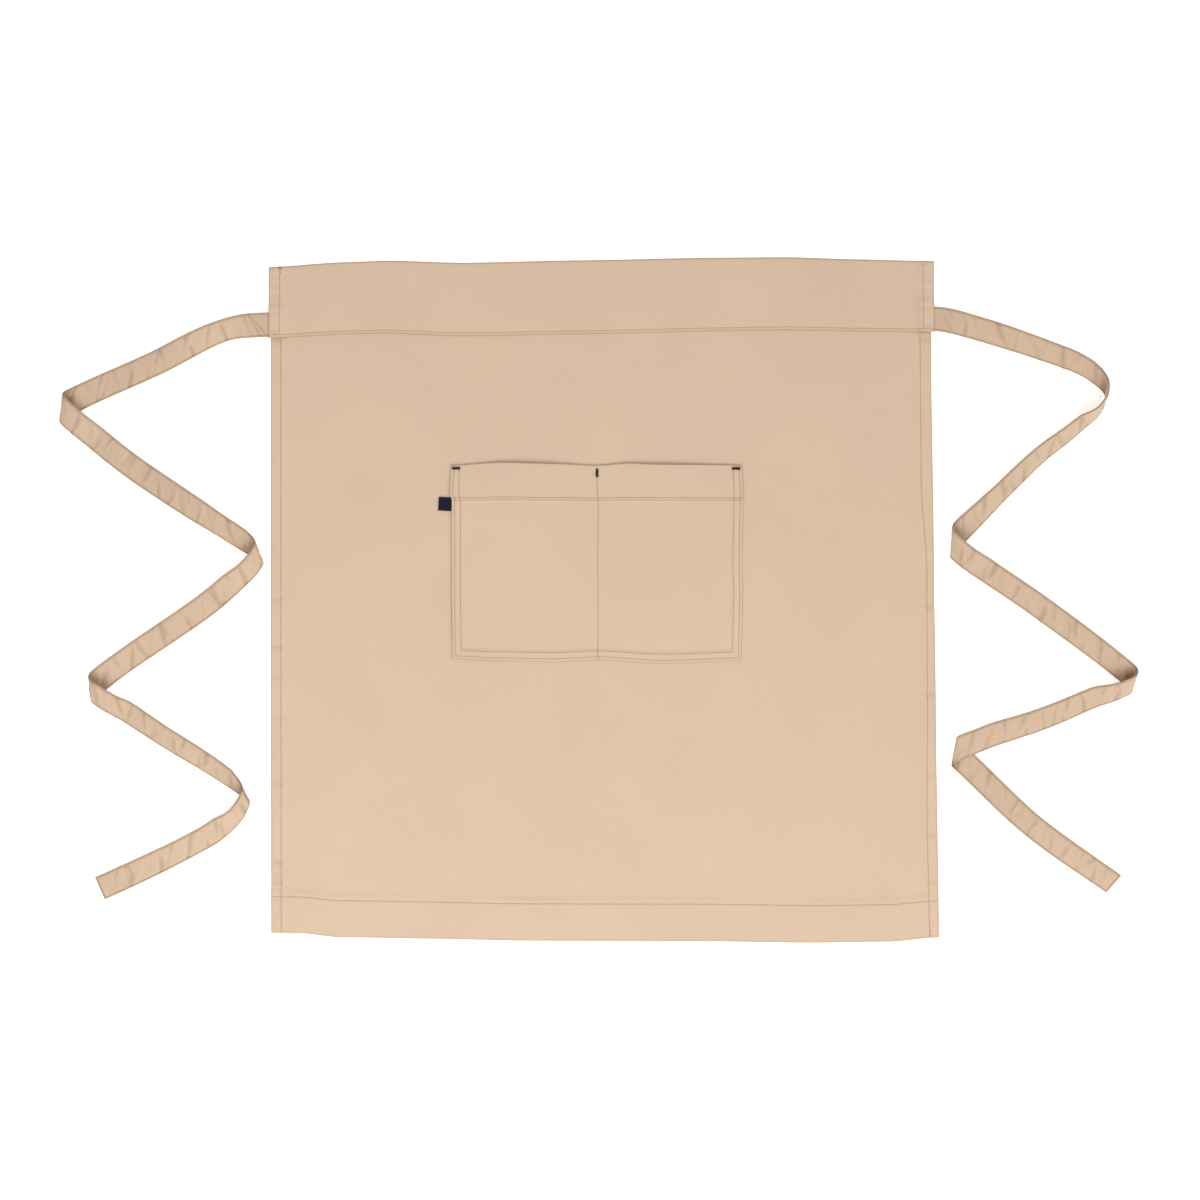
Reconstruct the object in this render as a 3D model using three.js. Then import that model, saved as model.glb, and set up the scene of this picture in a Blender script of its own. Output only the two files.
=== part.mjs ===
// Waist apron laid flat, face up, with its two ties folded back and forth beside it.
// Millimetres, +Z up, +Y towards the waist. The origin is the middle of the flat underside.

import * as THREE from "three";

// Cloth

const CLOTH = 1.0;
const GAP = 0.3;

// Main panel

const APRON_WIDTH = 762;
const APRON_LENGTH = 777;
const SIDE_HEM = 13;
const BOTTOM_HEM = 46;
const HEM_SLOPE = 5;
const HEM_LIP = 0.5;
const EDGE_WAVE = 6;
const PANEL_COLUMNS = 20;
const PANEL_ROWS = 18;

// Waistband

const WAISTBAND_DEPTH = 81.5;
const WAISTBAND_EASE = 3;
const WAISTBAND_STAND_LEFT = 2.0;
const WAISTBAND_STAND_RIGHT = 3.3;
const WAISTBAND_COLUMNS = 24;

// Patch pocket

const POCKET_WIDTH = 334;
const POCKET_HEIGHT = 225;
const POCKET_FROM_TOP = 233;
const POCKET_SHIFT = -7;
const POCKET_HEM = 41;
const POCKET_TURNING = 11;
const POCKET_WAVE = 3.4;
const MOUTH_GAPE = 2.2;
const POCKET_EASE = 0.4;
const POCKET_DIVIDER = 0.503;
const SECTION_COLUMNS = 8;
const POCKET_ROWS = 8;

// Woven label in the pocket's left seam

const LABEL_WIDTH = 15.5;
const LABEL_REACH = 16;
const LABEL_TUCK = 4;
const LABEL_THICKNESS = 1.0;
const LABEL_FROM_MOUTH = 44;
const LABEL_TURN = -3;
const LABEL_FLARE = 14;

// Bar tacks at the pocket's mouth

const TACK_LENGTH = 9.8;
const TACK_WIDTH = 2.6;
const TACK_HEIGHT = 1.3;
const TACK_FROM_MOUTH = 3.9;
const TACK_INSET = 1.6;

// Ties

const TIE_LENGTH = 1220;
const TIE_WIDTH = 28;
const TIE_THICKNESS = 1.6;
const TIE_TUCK = 11.5;
const TIE_ABOVE_SEAM = 1.2;
const ROOT_EASE = 2;
const ROOT_FLARE = 11;
const TIE_STEP = 18;
const ROLL_STEPS = 3;

// Shares of TIE_WIDTH over which a tie swings into a fold, and after which its upper run sinks

const TIE_SWING = 1.1;
const TIE_SETTLE = 0.9;

// Edge waves of the laid cloth: along is a share of the edge, out a share of EDGE_WAVE
// outwards from the straight edge.

const TOP_EDGE = [
  { along: 0, out: -1.05 },
  { along: 0.11, out: -0.1 },
  { along: 0.18, out: 0.2 },
  { along: 0.29, out: -0.2 },
  { along: 0.47, out: 0.28 },
  { along: 0.67, out: 0.77 },
  { along: 0.78, out: 0.87 },
  { along: 0.88, out: 0.48 },
  { along: 1, out: 0.1 },
];

const BOTTOM_EDGE = [
  { along: 0, out: -1.15 },
  { along: 0.045, out: -1.05 },
  { along: 0.1, out: -0.29 },
  { along: 0.24, out: 0 },
  { along: 0.38, out: 0.38 },
  { along: 0.64, out: 0.48 },
  { along: 0.81, out: 0.77 },
  { along: 0.93, out: 0.55 },
  { along: 0.99, out: -0.19 },
  { along: 1, out: -0.29 },
];

const LEFT_EDGE = [
  { along: 0, out: -0.05 },
  { along: 0.5, out: 0.05 },
  { along: 1, out: 0.05 },
];

const RIGHT_EDGE = [
  { along: 0, out: 0.77 },
  { along: 0.33, out: 0.2 },
  { along: 0.56, out: -0.19 },
  { along: 0.85, out: -0.7 },
  { along: 1, out: -0.8 },
];

// Edge waves of the pocket, as shares of POCKET_WAVE

const MOUTH_EDGE = [
  { along: 0, out: -0.2 },
  { along: 0.17, out: 0.8 },
  { along: 0.37, out: 0.3 },
  { along: 0.5, out: -0.25 },
  { along: 0.61, out: 0.5 },
  { along: 0.72, out: 0.05 },
  { along: 0.9, out: 0 },
  { along: 1, out: -0.2 },
];

const POCKET_FOOT = [
  { along: 0, out: -0.8 },
  { along: 0.15, out: 0 },
  { along: 0.36, out: 0.3 },
  { along: 0.505, out: -0.4 },
  { along: 0.73, out: 0.9 },
  { along: 1, out: 0 },
];

const POCKET_LEFT = [
  { along: 0, out: -0.35 },
  { along: 0.45, out: -0.05 },
  { along: 0.77, out: -0.15 },
  { along: 0.84, out: 0.65 },
  { along: 1, out: 0.2 },
];

const POCKET_RIGHT = [
  { along: 0, out: -0.4 },
  { along: 0.35, out: 0.1 },
  { along: 0.5, out: -0.15 },
  { along: 0.87, out: 0.25 },
  { along: 1, out: -0.3 },
];

// Points along the middle of each tie, one row for a fold, a bend or the free end. out and down
// are shares of TIE_LENGTH from the root, away from the apron and towards its hem. arrive and
// leave are the tie's slopes before and after the point, in degrees towards the hem. lean lifts
// the tie's upper edge, in degrees. roll is the radius of a fold as a share of TIE_WIDTH, and
// turn says whether the tie goes on straight there or folds back over or under itself.

const LEFT_TIE = [
  { out: 0.039, down: 0.005, arrive: 17, leave: 17, lean: 32, roll: 0, turn: "straight" },
  { out: 0.107, down: 0.0365, arrive: 25, leave: 25, lean: 6, roll: 0, turn: "straight" },
  { out: 0.1945, down: 0.0785, arrive: 27, leave: 42, lean: 6, roll: 0.13, turn: "over" },
  { out: 0.115, down: 0.143, arrive: 34, leave: 34, lean: 5, roll: 0, turn: "straight" },
  { out: 0.008, down: 0.214, arrive: 31, leave: 48, lean: 36, roll: 0.12, turn: "over" },
  { out: 0.064, down: 0.267, arrive: 36, leave: 36, lean: 10, roll: 0, turn: "straight" },
  { out: 0.168, down: 0.343, arrive: 36, leave: 29, lean: 22, roll: 0.12, turn: "over" },
  { out: 0.086, down: 0.394, arrive: 31, leave: 31, lean: 28, roll: 0, turn: "straight" },
  { out: 0.0195, down: 0.4425, arrive: 33, leave: 60, lean: 48, roll: 0.12, turn: "over" },
  { out: 0.058, down: 0.481, arrive: 29, leave: 29, lean: 24, roll: 0, turn: "straight" },
  { out: 0.159, down: 0.53, arrive: 24, leave: 24, lean: 0, roll: 0, turn: "end" },
];

const RIGHT_TIE = [
  { out: 0.039, down: 0.009, arrive: 16, leave: 16, lean: 24, roll: 0, turn: "straight" },
  { out: 0.12, down: 0.0365, arrive: 20, leave: 20, lean: 40, roll: 0, turn: "straight" },
  { out: 0.161, down: 0.07, arrive: 56, leave: 60, lean: 64, roll: 0.12, turn: "over" },
  { out: 0.112, down: 0.12, arrive: 33, leave: 33, lean: 56, roll: 0, turn: "straight" },
  { out: 0.068, down: 0.158, arrive: 44, leave: 44, lean: 44, roll: 0, turn: "straight" },
  { out: 0.0155, down: 0.211, arrive: 41, leave: 42, lean: 16, roll: 0.12, turn: "over" },
  { out: 0.098, down: 0.27, arrive: 36, leave: 36, lean: 22, roll: 0, turn: "straight" },
  { out: 0.188, down: 0.341, arrive: 39, leave: 22, lean: 32, roll: 0.14, turn: "over" },
  { out: 0.1, down: 0.3765, arrive: 18, leave: 18, lean: 24, roll: 0, turn: "straight" },
  { out: 0.0185, down: 0.407, arrive: 28, leave: 44, lean: 4, roll: 0.1, turn: "under" },
  { out: 0.0995, down: 0.483, arrive: 38, leave: 38, lean: 14, roll: 0, turn: "straight" },
  { out: 0.1685, down: 0.531, arrive: 35, leave: 35, lean: 24, roll: 0, turn: "end" },
];

// Small helpers

const mix = (a, b, share) => a + (b - a) * share;
const clamp = (value) => Math.min(1, Math.max(0, value));
const smooth = (value) => clamp(value) ** 2 * (3 - 2 * clamp(value));
const degrees = THREE.MathUtils.degToRad;

// The out column of an edge table at a share of the edge, eased between its rows
function edgeWave(table, along) {
  const last = table.length - 1;
  let index = 0;
  while (index < last - 1 && along > table[index + 1].along) {
    index += 1;
  }
  const from = table[index];
  const to = table[index + 1];
  const share = clamp((along - from.along) / (to.along - from.along));
  return mix(from.out, to.out, (share + smooth(share)) / 2);
}

// Shares from 0 to 1 through given stops in millimetres, with the longest stretch divided
function gridLines(length, fromStart, fromEnd, count) {
  const starts = fromStart.map((stop) => stop / length);
  const ends = fromEnd.map((stop) => 1 - stop / length).reverse();
  const first = starts[starts.length - 1];
  const last = ends[0];
  const between = [];
  for (let index = 1; index < count; index += 1) {
    between.push(mix(first, last, index / count));
  }
  return [...starts, ...between, ...ends];
}

// A closed solid between an upper and a lower sheet, each a grid of rows of points
function solidBetween(upper, lower) {
  const rows = upper.length;
  const columns = upper[0].length;
  const points = [...upper.flat(), ...lower.flat()];
  const below = rows * columns;
  const faces = [];
  const quad = (a, b, c, d) => faces.push(a, b, c, a, c, d);
  for (let row = 0; row < rows - 1; row += 1) {
    for (let column = 0; column < columns - 1; column += 1) {
      const corner = row * columns + column;
      quad(corner, corner + 1, corner + columns + 1, corner + columns);
      const under = below + corner;
      quad(under, under + columns, under + columns + 1, under + 1);
    }
  }
  const rim = [];
  for (let column = 0; column < columns - 1; column += 1) {
    rim.push(column);
  }
  for (let row = 0; row < rows - 1; row += 1) {
    rim.push(row * columns + columns - 1);
  }
  for (let column = columns - 1; column > 0; column -= 1) {
    rim.push((rows - 1) * columns + column);
  }
  for (let row = rows - 1; row > 0; row -= 1) {
    rim.push(row * columns);
  }
  rim.forEach((start, index) => {
    const end = rim[(index + 1) % rim.length];
    quad(below + start, below + end, end, start);
  });
  const geometry = new THREE.BufferGeometry();
  const values = points.flatMap((point) => [point.x, point.y, point.z]);
  geometry.setAttribute("position", new THREE.Float32BufferAttribute(values, 3));
  geometry.setIndex(faces);
  geometry.computeVertexNormals();
  return geometry;
}

// Outline of the laid apron: across runs from the left edge to the right, along from the hem up

const topLine = (across) => APRON_LENGTH / 2 + EDGE_WAVE * edgeWave(TOP_EDGE, across);
const bottomLine = (across) => -APRON_LENGTH / 2 - EDGE_WAVE * edgeWave(BOTTOM_EDGE, across);
const leftLine = (along) => -APRON_WIDTH / 2 - EDGE_WAVE * edgeWave(LEFT_EDGE, along);
const rightLine = (along) => APRON_WIDTH / 2 + EDGE_WAVE * edgeWave(RIGHT_EDGE, along);

// Layers that a turned hem adds at a distance from its fold: a whole one, then a soft step down
const hemLayer = (distance, depth) => 1 - smooth((distance - depth) / HEM_SLOPE);

// How far the cloth is held up just past the inner edge of a hem, as a share of the cloth
function hemHollow(distance, depth) {
  if (distance <= depth) {
    return 0;
  }
  return Math.min((distance - depth) / HEM_LIP, 1) * hemLayer(distance, depth);
}

function sideHemAt(across) {
  return Math.min(across, 1 - across) * APRON_WIDTH;
}

// Top of the main panel: one cloth, two at a hem and three where the hems cross
function panelTop(across, along) {
  const side = hemLayer(sideHemAt(across), SIDE_HEM);
  const foot = hemLayer(along * APRON_LENGTH, BOTTOM_HEM);
  return CLOTH * (1 + side + foot);
}

function panelUnderside(across, along) {
  const sideDistance = sideHemAt(across);
  const footDistance = along * APRON_LENGTH;
  const beside = hemHollow(sideDistance, SIDE_HEM) * (1 - hemLayer(footDistance, BOTTOM_HEM));
  const above = hemHollow(footDistance, BOTTOM_HEM) * (1 - hemLayer(sideDistance, SIDE_HEM));
  return CLOTH * Math.max(beside, above);
}

// The main panel reaches up inside the waistband to just short of the fold along its top
function panelGeometry() {
  const hemStops = [0, SIDE_HEM, SIDE_HEM + HEM_LIP, SIDE_HEM + HEM_SLOPE / 2, SIDE_HEM + HEM_SLOPE];
  const footStops = [0, BOTTOM_HEM, BOTTOM_HEM + HEM_LIP, BOTTOM_HEM + HEM_SLOPE / 2, BOTTOM_HEM + HEM_SLOPE];
  const columns = gridLines(APRON_WIDTH, hemStops, hemStops, PANEL_COLUMNS);
  const rows = gridLines(APRON_LENGTH, footStops, [0], PANEL_ROWS);
  const topInset = CLOTH + 2 * GAP;
  const sheet = (height) => rows.map((along) => columns.map((across) => new THREE.Vector3(
    mix(leftLine(along), rightLine(along), across),
    mix(bottomLine(across), topLine(across) - topInset, along),
    height(across, along),
  )));
  return solidBetween(sheet(panelTop), sheet(panelUnderside));
}

// Roots of the ties, between the panel's side hem and the waistband

const waistbandDepth = (across) => WAISTBAND_DEPTH + WAISTBAND_EASE * Math.sin(Math.PI * across);
const seamLine = (across) => topLine(across) - waistbandDepth(across);
const ROOT_ABOVE_SEAM = TIE_WIDTH / 2 + TIE_ABOVE_SEAM;
const ROOT_HEIGHT = 2 * CLOTH + GAP;

// How far the waistband is held up by a tie's root, as a share of the tie's thickness
function rootSwell(fromEnd, aboveSeam) {
  const inwards = fromEnd - TIE_TUCK - ROOT_EASE;
  const beside = Math.abs(aboveSeam - ROOT_ABOVE_SEAM) - TIE_WIDTH / 2 - ROOT_EASE;
  return (1 - smooth(inwards / ROOT_FLARE)) * (1 - smooth(beside / ROOT_FLARE));
}

// The waistband lies on the panel's face and its top is folded down over the panel's top edge
function waistbandGeometry() {
  const width = APRON_WIDTH + WAISTBAND_STAND_LEFT + WAISTBAND_STAND_RIGHT;
  const hemStops = [SIDE_HEM, SIDE_HEM + HEM_LIP, SIDE_HEM + HEM_SLOPE / 2, SIDE_HEM + HEM_SLOPE];
  const flareStop = TIE_TUCK + ROOT_EASE + ROOT_FLARE;
  const endStops = (stand) => [0, ...[...hemStops, flareStop].map((stop) => stand + stop)];
  const columns = gridLines(
    width,
    endStops(WAISTBAND_STAND_LEFT),
    endStops(WAISTBAND_STAND_RIGHT),
    WAISTBAND_COLUMNS,
  );
  const rootTop = ROOT_ABOVE_SEAM + TIE_WIDTH / 2 + ROOT_EASE;
  const lip = CLOTH + GAP;
  const rows = [
    { share: 0, mark: 0, drop: false },
    { share: 0, mark: ROOT_ABOVE_SEAM, drop: false },
    { share: 0, mark: rootTop, drop: false },
    { share: 0, mark: rootTop + ROOT_FLARE / 2, drop: false },
    { share: 0, mark: rootTop + ROOT_FLARE, drop: false },
    { share: 1, mark: -lip, drop: false },
    { share: 1, mark: -CLOTH, drop: true },
    { share: 1, mark: 0, drop: true },
  ];
  const place = (across, row, isTop) => {
    const along = 1 - (waistbandDepth(across) * (1 - row.share)) / APRON_LENGTH;
    const left = leftLine(along) - WAISTBAND_STAND_LEFT;
    const right = rightLine(along) + WAISTBAND_STAND_RIGHT;
    const x = mix(left, right, across);
    const aboveSeam = waistbandDepth(across) * row.share + row.mark;
    const fromEnd = Math.min(across, 1 - across) * width;
    const fromSide = Math.min(
      across * width - WAISTBAND_STAND_LEFT,
      (1 - across) * width - WAISTBAND_STAND_RIGHT,
    );
    const onPanel = CLOTH * (1 + hemLayer(fromSide, SIDE_HEM)) + GAP;
    const held = rootSwell(fromEnd, aboveSeam) * (TIE_THICKNESS + GAP);
    const under = row.drop ? 0 : onPanel + held;
    return new THREE.Vector3(x, seamLine(across) + aboveSeam, isTop ? onPanel + held + CLOTH : under);
  };
  const sheet = (isTop) => rows.map((row) => columns.map((across) => place(across, row, isTop)));
  return solidBetween(sheet(true), sheet(false));
}

// Outline of the pocket: across from its left side to its right, along from its foot to its mouth

const POCKET_TOP = APRON_LENGTH / 2 - POCKET_FROM_TOP;
const POCKET_LEFT_SIDE = POCKET_SHIFT - POCKET_WIDTH / 2;

function pocketPlace(across, along, height) {
  const left = POCKET_LEFT_SIDE - POCKET_WAVE * edgeWave(POCKET_LEFT, along);
  const right = POCKET_LEFT_SIDE + POCKET_WIDTH + POCKET_WAVE * edgeWave(POCKET_RIGHT, along);
  const mouth = POCKET_TOP + POCKET_WAVE * edgeWave(MOUTH_EDGE, across);
  const foot = POCKET_TOP - POCKET_HEIGHT - POCKET_WAVE * edgeWave(POCKET_FOOT, across);
  return new THREE.Vector3(mix(left, right, across), mix(foot, mouth, along), height);
}

// Underside of the pocket: sewn down at its sides, foot and divider, a little open at the mouth
function pocketUnderside(across, along) {
  const inset = POCKET_TURNING / POCKET_WIDTH;
  const isLeft = across < POCKET_DIVIDER;
  const start = isLeft ? inset : POCKET_DIVIDER;
  const end = isLeft ? POCKET_DIVIDER : 1 - inset;
  const inSection = clamp((across - start) / (end - start));
  const swell = Math.sin(Math.PI * inSection) ** 2;
  const fromFoot = smooth((along * POCKET_HEIGHT - POCKET_TURNING) / POCKET_TURNING);
  const gape = mix(POCKET_EASE * fromFoot, MOUTH_GAPE, clamp(along) ** 6);
  const fromLabel = Math.abs((1 - along) * POCKET_HEIGHT - LABEL_FROM_MOUTH) - LABEL_WIDTH / 2;
  const besideLabel = smooth(1 - (fromLabel - 1) / LABEL_FLARE);
  const overLabel = besideLabel * smooth(1 - (across * POCKET_WIDTH - LABEL_TUCK - 1) / POCKET_TURNING);
  return CLOTH + GAP + swell * gape + overLabel * (LABEL_THICKNESS + GAP);
}

function pocketTop(across, along) {
  const fromSide = Math.min(across, 1 - across) * POCKET_WIDTH;
  const fromFoot = along * POCKET_HEIGHT;
  const fromMouth = (1 - along) * POCKET_HEIGHT;
  const turning = Math.max(hemLayer(fromSide, POCKET_TURNING), hemLayer(fromFoot, POCKET_TURNING));
  const hem = hemLayer(fromMouth, POCKET_HEM);
  return pocketUnderside(across, along) + CLOTH * (1 + Math.max(turning, hem));
}

function pocketGeometry() {
  const turning = [0, LABEL_TUCK + 1, POCKET_TURNING, POCKET_TURNING + HEM_SLOPE];
  const half = gridLines(POCKET_WIDTH * POCKET_DIVIDER, turning, [0], SECTION_COLUMNS);
  const other = gridLines(POCKET_WIDTH * (1 - POCKET_DIVIDER), [0], turning, SECTION_COLUMNS);
  const columns = [
    ...half.map((share) => share * POCKET_DIVIDER),
    ...other.slice(1).map((share) => mix(POCKET_DIVIDER, 1, share)),
  ];
  const labelHalf = LABEL_WIDTH / 2 + 1;
  const mouthStops = [
    0,
    POCKET_HEM / 3,
    LABEL_FROM_MOUTH - labelHalf - LABEL_FLARE / 2,
    LABEL_FROM_MOUTH - labelHalf,
    POCKET_HEM,
    POCKET_HEM + HEM_SLOPE,
    LABEL_FROM_MOUTH + labelHalf,
    LABEL_FROM_MOUTH + labelHalf + LABEL_FLARE,
  ];
  const footStops = [0, POCKET_TURNING, POCKET_TURNING + HEM_SLOPE];
  const rows = gridLines(POCKET_HEIGHT, footStops, mouthStops, POCKET_ROWS);
  const sheet = (height) => rows.map((along) => columns.map(
    (across) => pocketPlace(across, along, height(across, along)),
  ));
  return solidBetween(sheet(pocketTop), sheet(pocketUnderside));
}

// The label is a short loop of woven tape: its fold is rounded and its ends are in the seam
function labelGeometry() {
  const lengths = [0, 0.06, 0.2, 0.6, 1];
  const rounding = [0.45, 0.85, 1, 1, 1];
  const whole = LABEL_REACH + LABEL_TUCK;
  const sheet = (side) => [-0.5, 0, 0.5].map((across) => lengths.map((share, index) => new THREE.Vector3(
    share * whole - LABEL_REACH,
    across * LABEL_WIDTH,
    (LABEL_THICKNESS / 2) * side * rounding[index],
  )));
  const geometry = solidBetween(sheet(1), sheet(-1));
  geometry.rotateZ(degrees(LABEL_TURN));
  const along = 1 - LABEL_FROM_MOUTH / POCKET_HEIGHT;
  const seat = pocketPlace(0, along, CLOTH + GAP + LABEL_THICKNESS / 2);
  geometry.translate(seat.x, seat.y, seat.z);
  return geometry;
}

// A bar tack is a short flattened roll of close thread on top of the pocket
function barTackGeometry(across, along, turn) {
  const geometry = new THREE.CapsuleGeometry(TACK_WIDTH / 2, TACK_LENGTH - TACK_WIDTH, 3, 8);
  geometry.scale(1, 1, TACK_HEIGHT / TACK_WIDTH);
  geometry.rotateZ(degrees(turn));
  const seat = pocketPlace(across, along, pocketTop(across, along) + GAP + TACK_HEIGHT / 2);
  geometry.translate(seat.x, seat.y, seat.z);
  return geometry;
}

// Direction of a tie in the plan from its slope towards the hem
function tieHeading(sideways, slope) {
  return new THREE.Vector2(sideways * Math.cos(degrees(slope)), -Math.sin(degrees(slope)));
}

// Plan of one run of a tie: a smooth curve between two points with a given slope at each end
function tieRun(from, to) {
  const chord = to.place.clone().sub(from.place);
  const length = chord.length();
  const first = tieHeading(Math.sign(chord.x), from.leave);
  const last = tieHeading(Math.sign(chord.x), to.arrive);
  const point = (share) => {
    const square = share ** 2;
    const cube = share ** 3;
    return new THREE.Vector2()
      .addScaledVector(from.place, 2 * cube - 3 * square + 1)
      .addScaledVector(first, length * (cube - 2 * square + share))
      .addScaledVector(to.place, 3 * square - 2 * cube)
      .addScaledVector(last, length * (cube - square));
  };
  const tangent = (share) => point(share + 1e-3).sub(point(share - 1e-3)).normalize();
  return { from, to, length, first, last, point, tangent };
}

// The direction across a tie that points to its upper edge in the plan
function upperSide(direction) {
  const side = new THREE.Vector2(-direction.y, direction.x);
  return side.y < 0 ? side.negate() : side;
}

// A fold lies along the line that mirrors the run before it into the run after it
function foldBetween(before, after) {
  const axis = before.last.clone().add(after.first).normalize();
  if (axis.y < 0) {
    axis.negate();
  }
  const sine = Math.abs(axis.cross(before.last));
  return { axis, sine, radius: before.to.roll * TIE_WIDTH, over: before.to.turn === "over" };
}

// Places along a run where a cross section is set: the quarter turns at its folds, then evenly
function runStops(run, start, end) {
  const stops = [];
  const cleared = (fold) => (fold ? (1.6 * fold.radius) / fold.sine / run.length : 0);
  const steps = Math.max(3, Math.round(run.length / TIE_STEP));
  for (let step = start ? 0 : 1; step <= steps; step += 1) {
    const share = mix(cleared(start), 1 - cleared(end), step / steps);
    stops.push({ share, fold: null, turned: 1, isStart: false });
  }
  const quarter = (fold, isStart, from) => {
    for (let step = from; step <= ROLL_STEPS; step += 1) {
      const angle = (Math.PI / 2) * (step / ROLL_STEPS);
      const away = (fold.radius * (1 - Math.cos(angle))) / fold.sine / run.length;
      stops.push({ share: isStart ? away : 1 - away, fold, turned: Math.sin(angle), isStart });
    }
  };
  if (start) {
    quarter(start, true, 1);
  }
  if (end) {
    quarter(end, false, 0);
  }
  return stops.sort((a, b) => a.share - b.share);
}

// One cross section of a tie: axis and lean turn it, and roll lifts it off the layer below
function tieSection(plan, axis, lean, roll, direction, lift) {
  const across = new THREE.Vector3(axis.x * Math.cos(lean), axis.y * Math.cos(lean), Math.sin(lean));
  const away = new THREE.Vector3(-axis.x * Math.sin(lean), -axis.y * Math.sin(lean), Math.cos(lean));
  const skew = Math.cos(lean) * axis.dot(direction);
  const half = TIE_WIDTH / 2 / Math.sqrt(1 - skew ** 2);
  const height = TIE_THICKNESS / 2 + half * Math.sin(lean) + lift;
  const centre = new THREE.Vector3(plan.x, plan.y, height).addScaledVector(away, roll);
  return { centre, across, half };
}

// Cross sections along one run, with the folds before and after it
function runSections(run, start, end, isFirst) {
  return runStops(run, start, end).map((stop) => {
    const fromStart = stop.share * run.length;
    const fromEnd = (1 - stop.share) * run.length;
    const direction = run.tangent(stop.share);
    const nearStart = start ? 1 - smooth(fromStart / (TIE_SWING * TIE_WIDTH)) : 0;
    const nearEnd = end ? 1 - smooth(fromEnd / (TIE_SWING * TIE_WIDTH)) : 0;
    const axis = upperSide(direction).multiplyScalar(1 - nearStart - nearEnd);
    if (start) {
      axis.addScaledVector(start.axis, nearStart);
    }
    if (end) {
      axis.addScaledVector(end.axis, nearEnd);
    }
    const lean = degrees(mix(run.from.lean, run.to.lean, smooth(stop.share)));
    const held = (distance) => 1 - smooth(distance / TIE_WIDTH - TIE_SETTLE);
    let roll = 0;
    if (stop.fold) {
      const side = stop.fold.over === stop.isStart ? 1 : -1;
      roll = stop.fold.radius * (1 + side * stop.turned);
    } else if (start && start.over) {
      roll = 2 * start.radius * held(fromStart);
    } else if (end && !end.over) {
      roll = 2 * end.radius * held(fromEnd);
    }
    const lift = isFirst ? ROOT_HEIGHT * (1 - smooth(fromStart / TIE_WIDTH)) : 0;
    return tieSection(run.point(stop.share), axis.normalize(), lean, roll, direction, lift);
  });
}

// Cross sections of a tie from its root in the waistband to its free end
function tieSections(table, side) {
  const end = side < 0 ? 0 : 1;
  const edge = side < 0 ? leftLine(1) - WAISTBAND_STAND_LEFT : rightLine(1) + WAISTBAND_STAND_RIGHT;
  const root = new THREE.Vector2(edge, seamLine(end) + ROOT_ABOVE_SEAM);
  const tucked = new THREE.Vector2(root.x - side * TIE_TUCK, root.y);
  const points = [
    { leave: 0, lean: 0, place: root },
    ...table.map((row) => ({
      ...row,
      place: new THREE.Vector2(root.x + side * row.out * TIE_LENGTH, root.y - row.down * TIE_LENGTH),
    })),
  ];
  const runs = table.map((row, index) => tieRun(points[index], points[index + 1]));
  const folds = table.map((row, index) => (
    row.turn === "over" || row.turn === "under" ? foldBetween(runs[index], runs[index + 1]) : null
  ));
  const upright = new THREE.Vector2(0, 1);
  const outwards = new THREE.Vector2(side, 0);
  return [
    tieSection(tucked, upright, 0, 0, outwards, ROOT_HEIGHT),
    tieSection(root, upright, 0, 0, outwards, ROOT_HEIGHT),
    ...runs.flatMap((run, index) => runSections(run, folds[index - 1], folds[index], index === 0)),
  ];
}

// A tie is a flat double strip carried through its cross sections
function tieGeometry(table, side) {
  const sections = tieSections(table, side);
  const last = sections.length - 1;
  const sheet = (face) => sections.map((section, index) => {
    const before = sections[Math.max(index - 1, 0)].centre;
    const after = sections[Math.min(index + 1, last)].centre;
    const tangent = after.clone().sub(before).normalize();
    const normal = section.across.clone().cross(tangent).normalize();
    return [-1, 1].map((edge) => section.centre.clone()
      .addScaledVector(section.across, edge * section.half)
      .addScaledVector(normal, (face * TIE_THICKNESS) / 2));
  });
  return solidBetween(sheet(1), sheet(-1));
}

// Materials

const clothMaterial = (color) => new THREE.MeshStandardMaterial({ color, roughness: 0.9, metalness: 0 });
const twill = clothMaterial(0xdcc1a7);
const tieTwill = clothMaterial(0xd4ba9d);
const navyThread = clothMaterial(0x1c2340);

// Assembly

const apron = new THREE.Group();

function addPiece(name, geometry, material) {
  const mesh = new THREE.Mesh(geometry, material);
  mesh.name = name;
  apron.add(mesh);
}

const tackAlong = 1 - TACK_FROM_MOUTH / POCKET_HEIGHT;
const tackAcross = (TACK_INSET + TACK_LENGTH / 2) / POCKET_WIDTH;
const centreTackAlong = 1 - (TACK_FROM_MOUTH + TACK_LENGTH / 2) / POCKET_HEIGHT;

addPiece("apron_panel", panelGeometry(), twill);
addPiece("waistband", waistbandGeometry(), twill);
addPiece("pocket", pocketGeometry(), twill);
addPiece("woven_label", labelGeometry(), navyThread);
addPiece("bar_tack_left", barTackGeometry(tackAcross, tackAlong, 90), navyThread);
addPiece("bar_tack_centre", barTackGeometry(POCKET_DIVIDER, centreTackAlong, 0), navyThread);
addPiece("bar_tack_right", barTackGeometry(1 - tackAcross, tackAlong, 90), navyThread);
addPiece("tie_left", tieGeometry(LEFT_TIE, -1), tieTwill);
addPiece("tie_right", tieGeometry(RIGHT_TIE, 1), tieTwill);

export default apron;
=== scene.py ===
# %% [markdown]
# # A long waist apron, laid flat
#
# This lesson dresses a long apron of beige twill that lies face up on a pale floor. Its plain
# solids come from a imported model, which gives every piece its place and size. Each piece of
# cloth is made again here as a fine surface worked out from two numbers, one across the cloth
# and one along it, so that hems, seams, puckers and folds can be added as simple sums.
#
# The first cell loads the plain solids as a fixed frame, and defines a function that finds the box
# of one of them.

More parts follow.
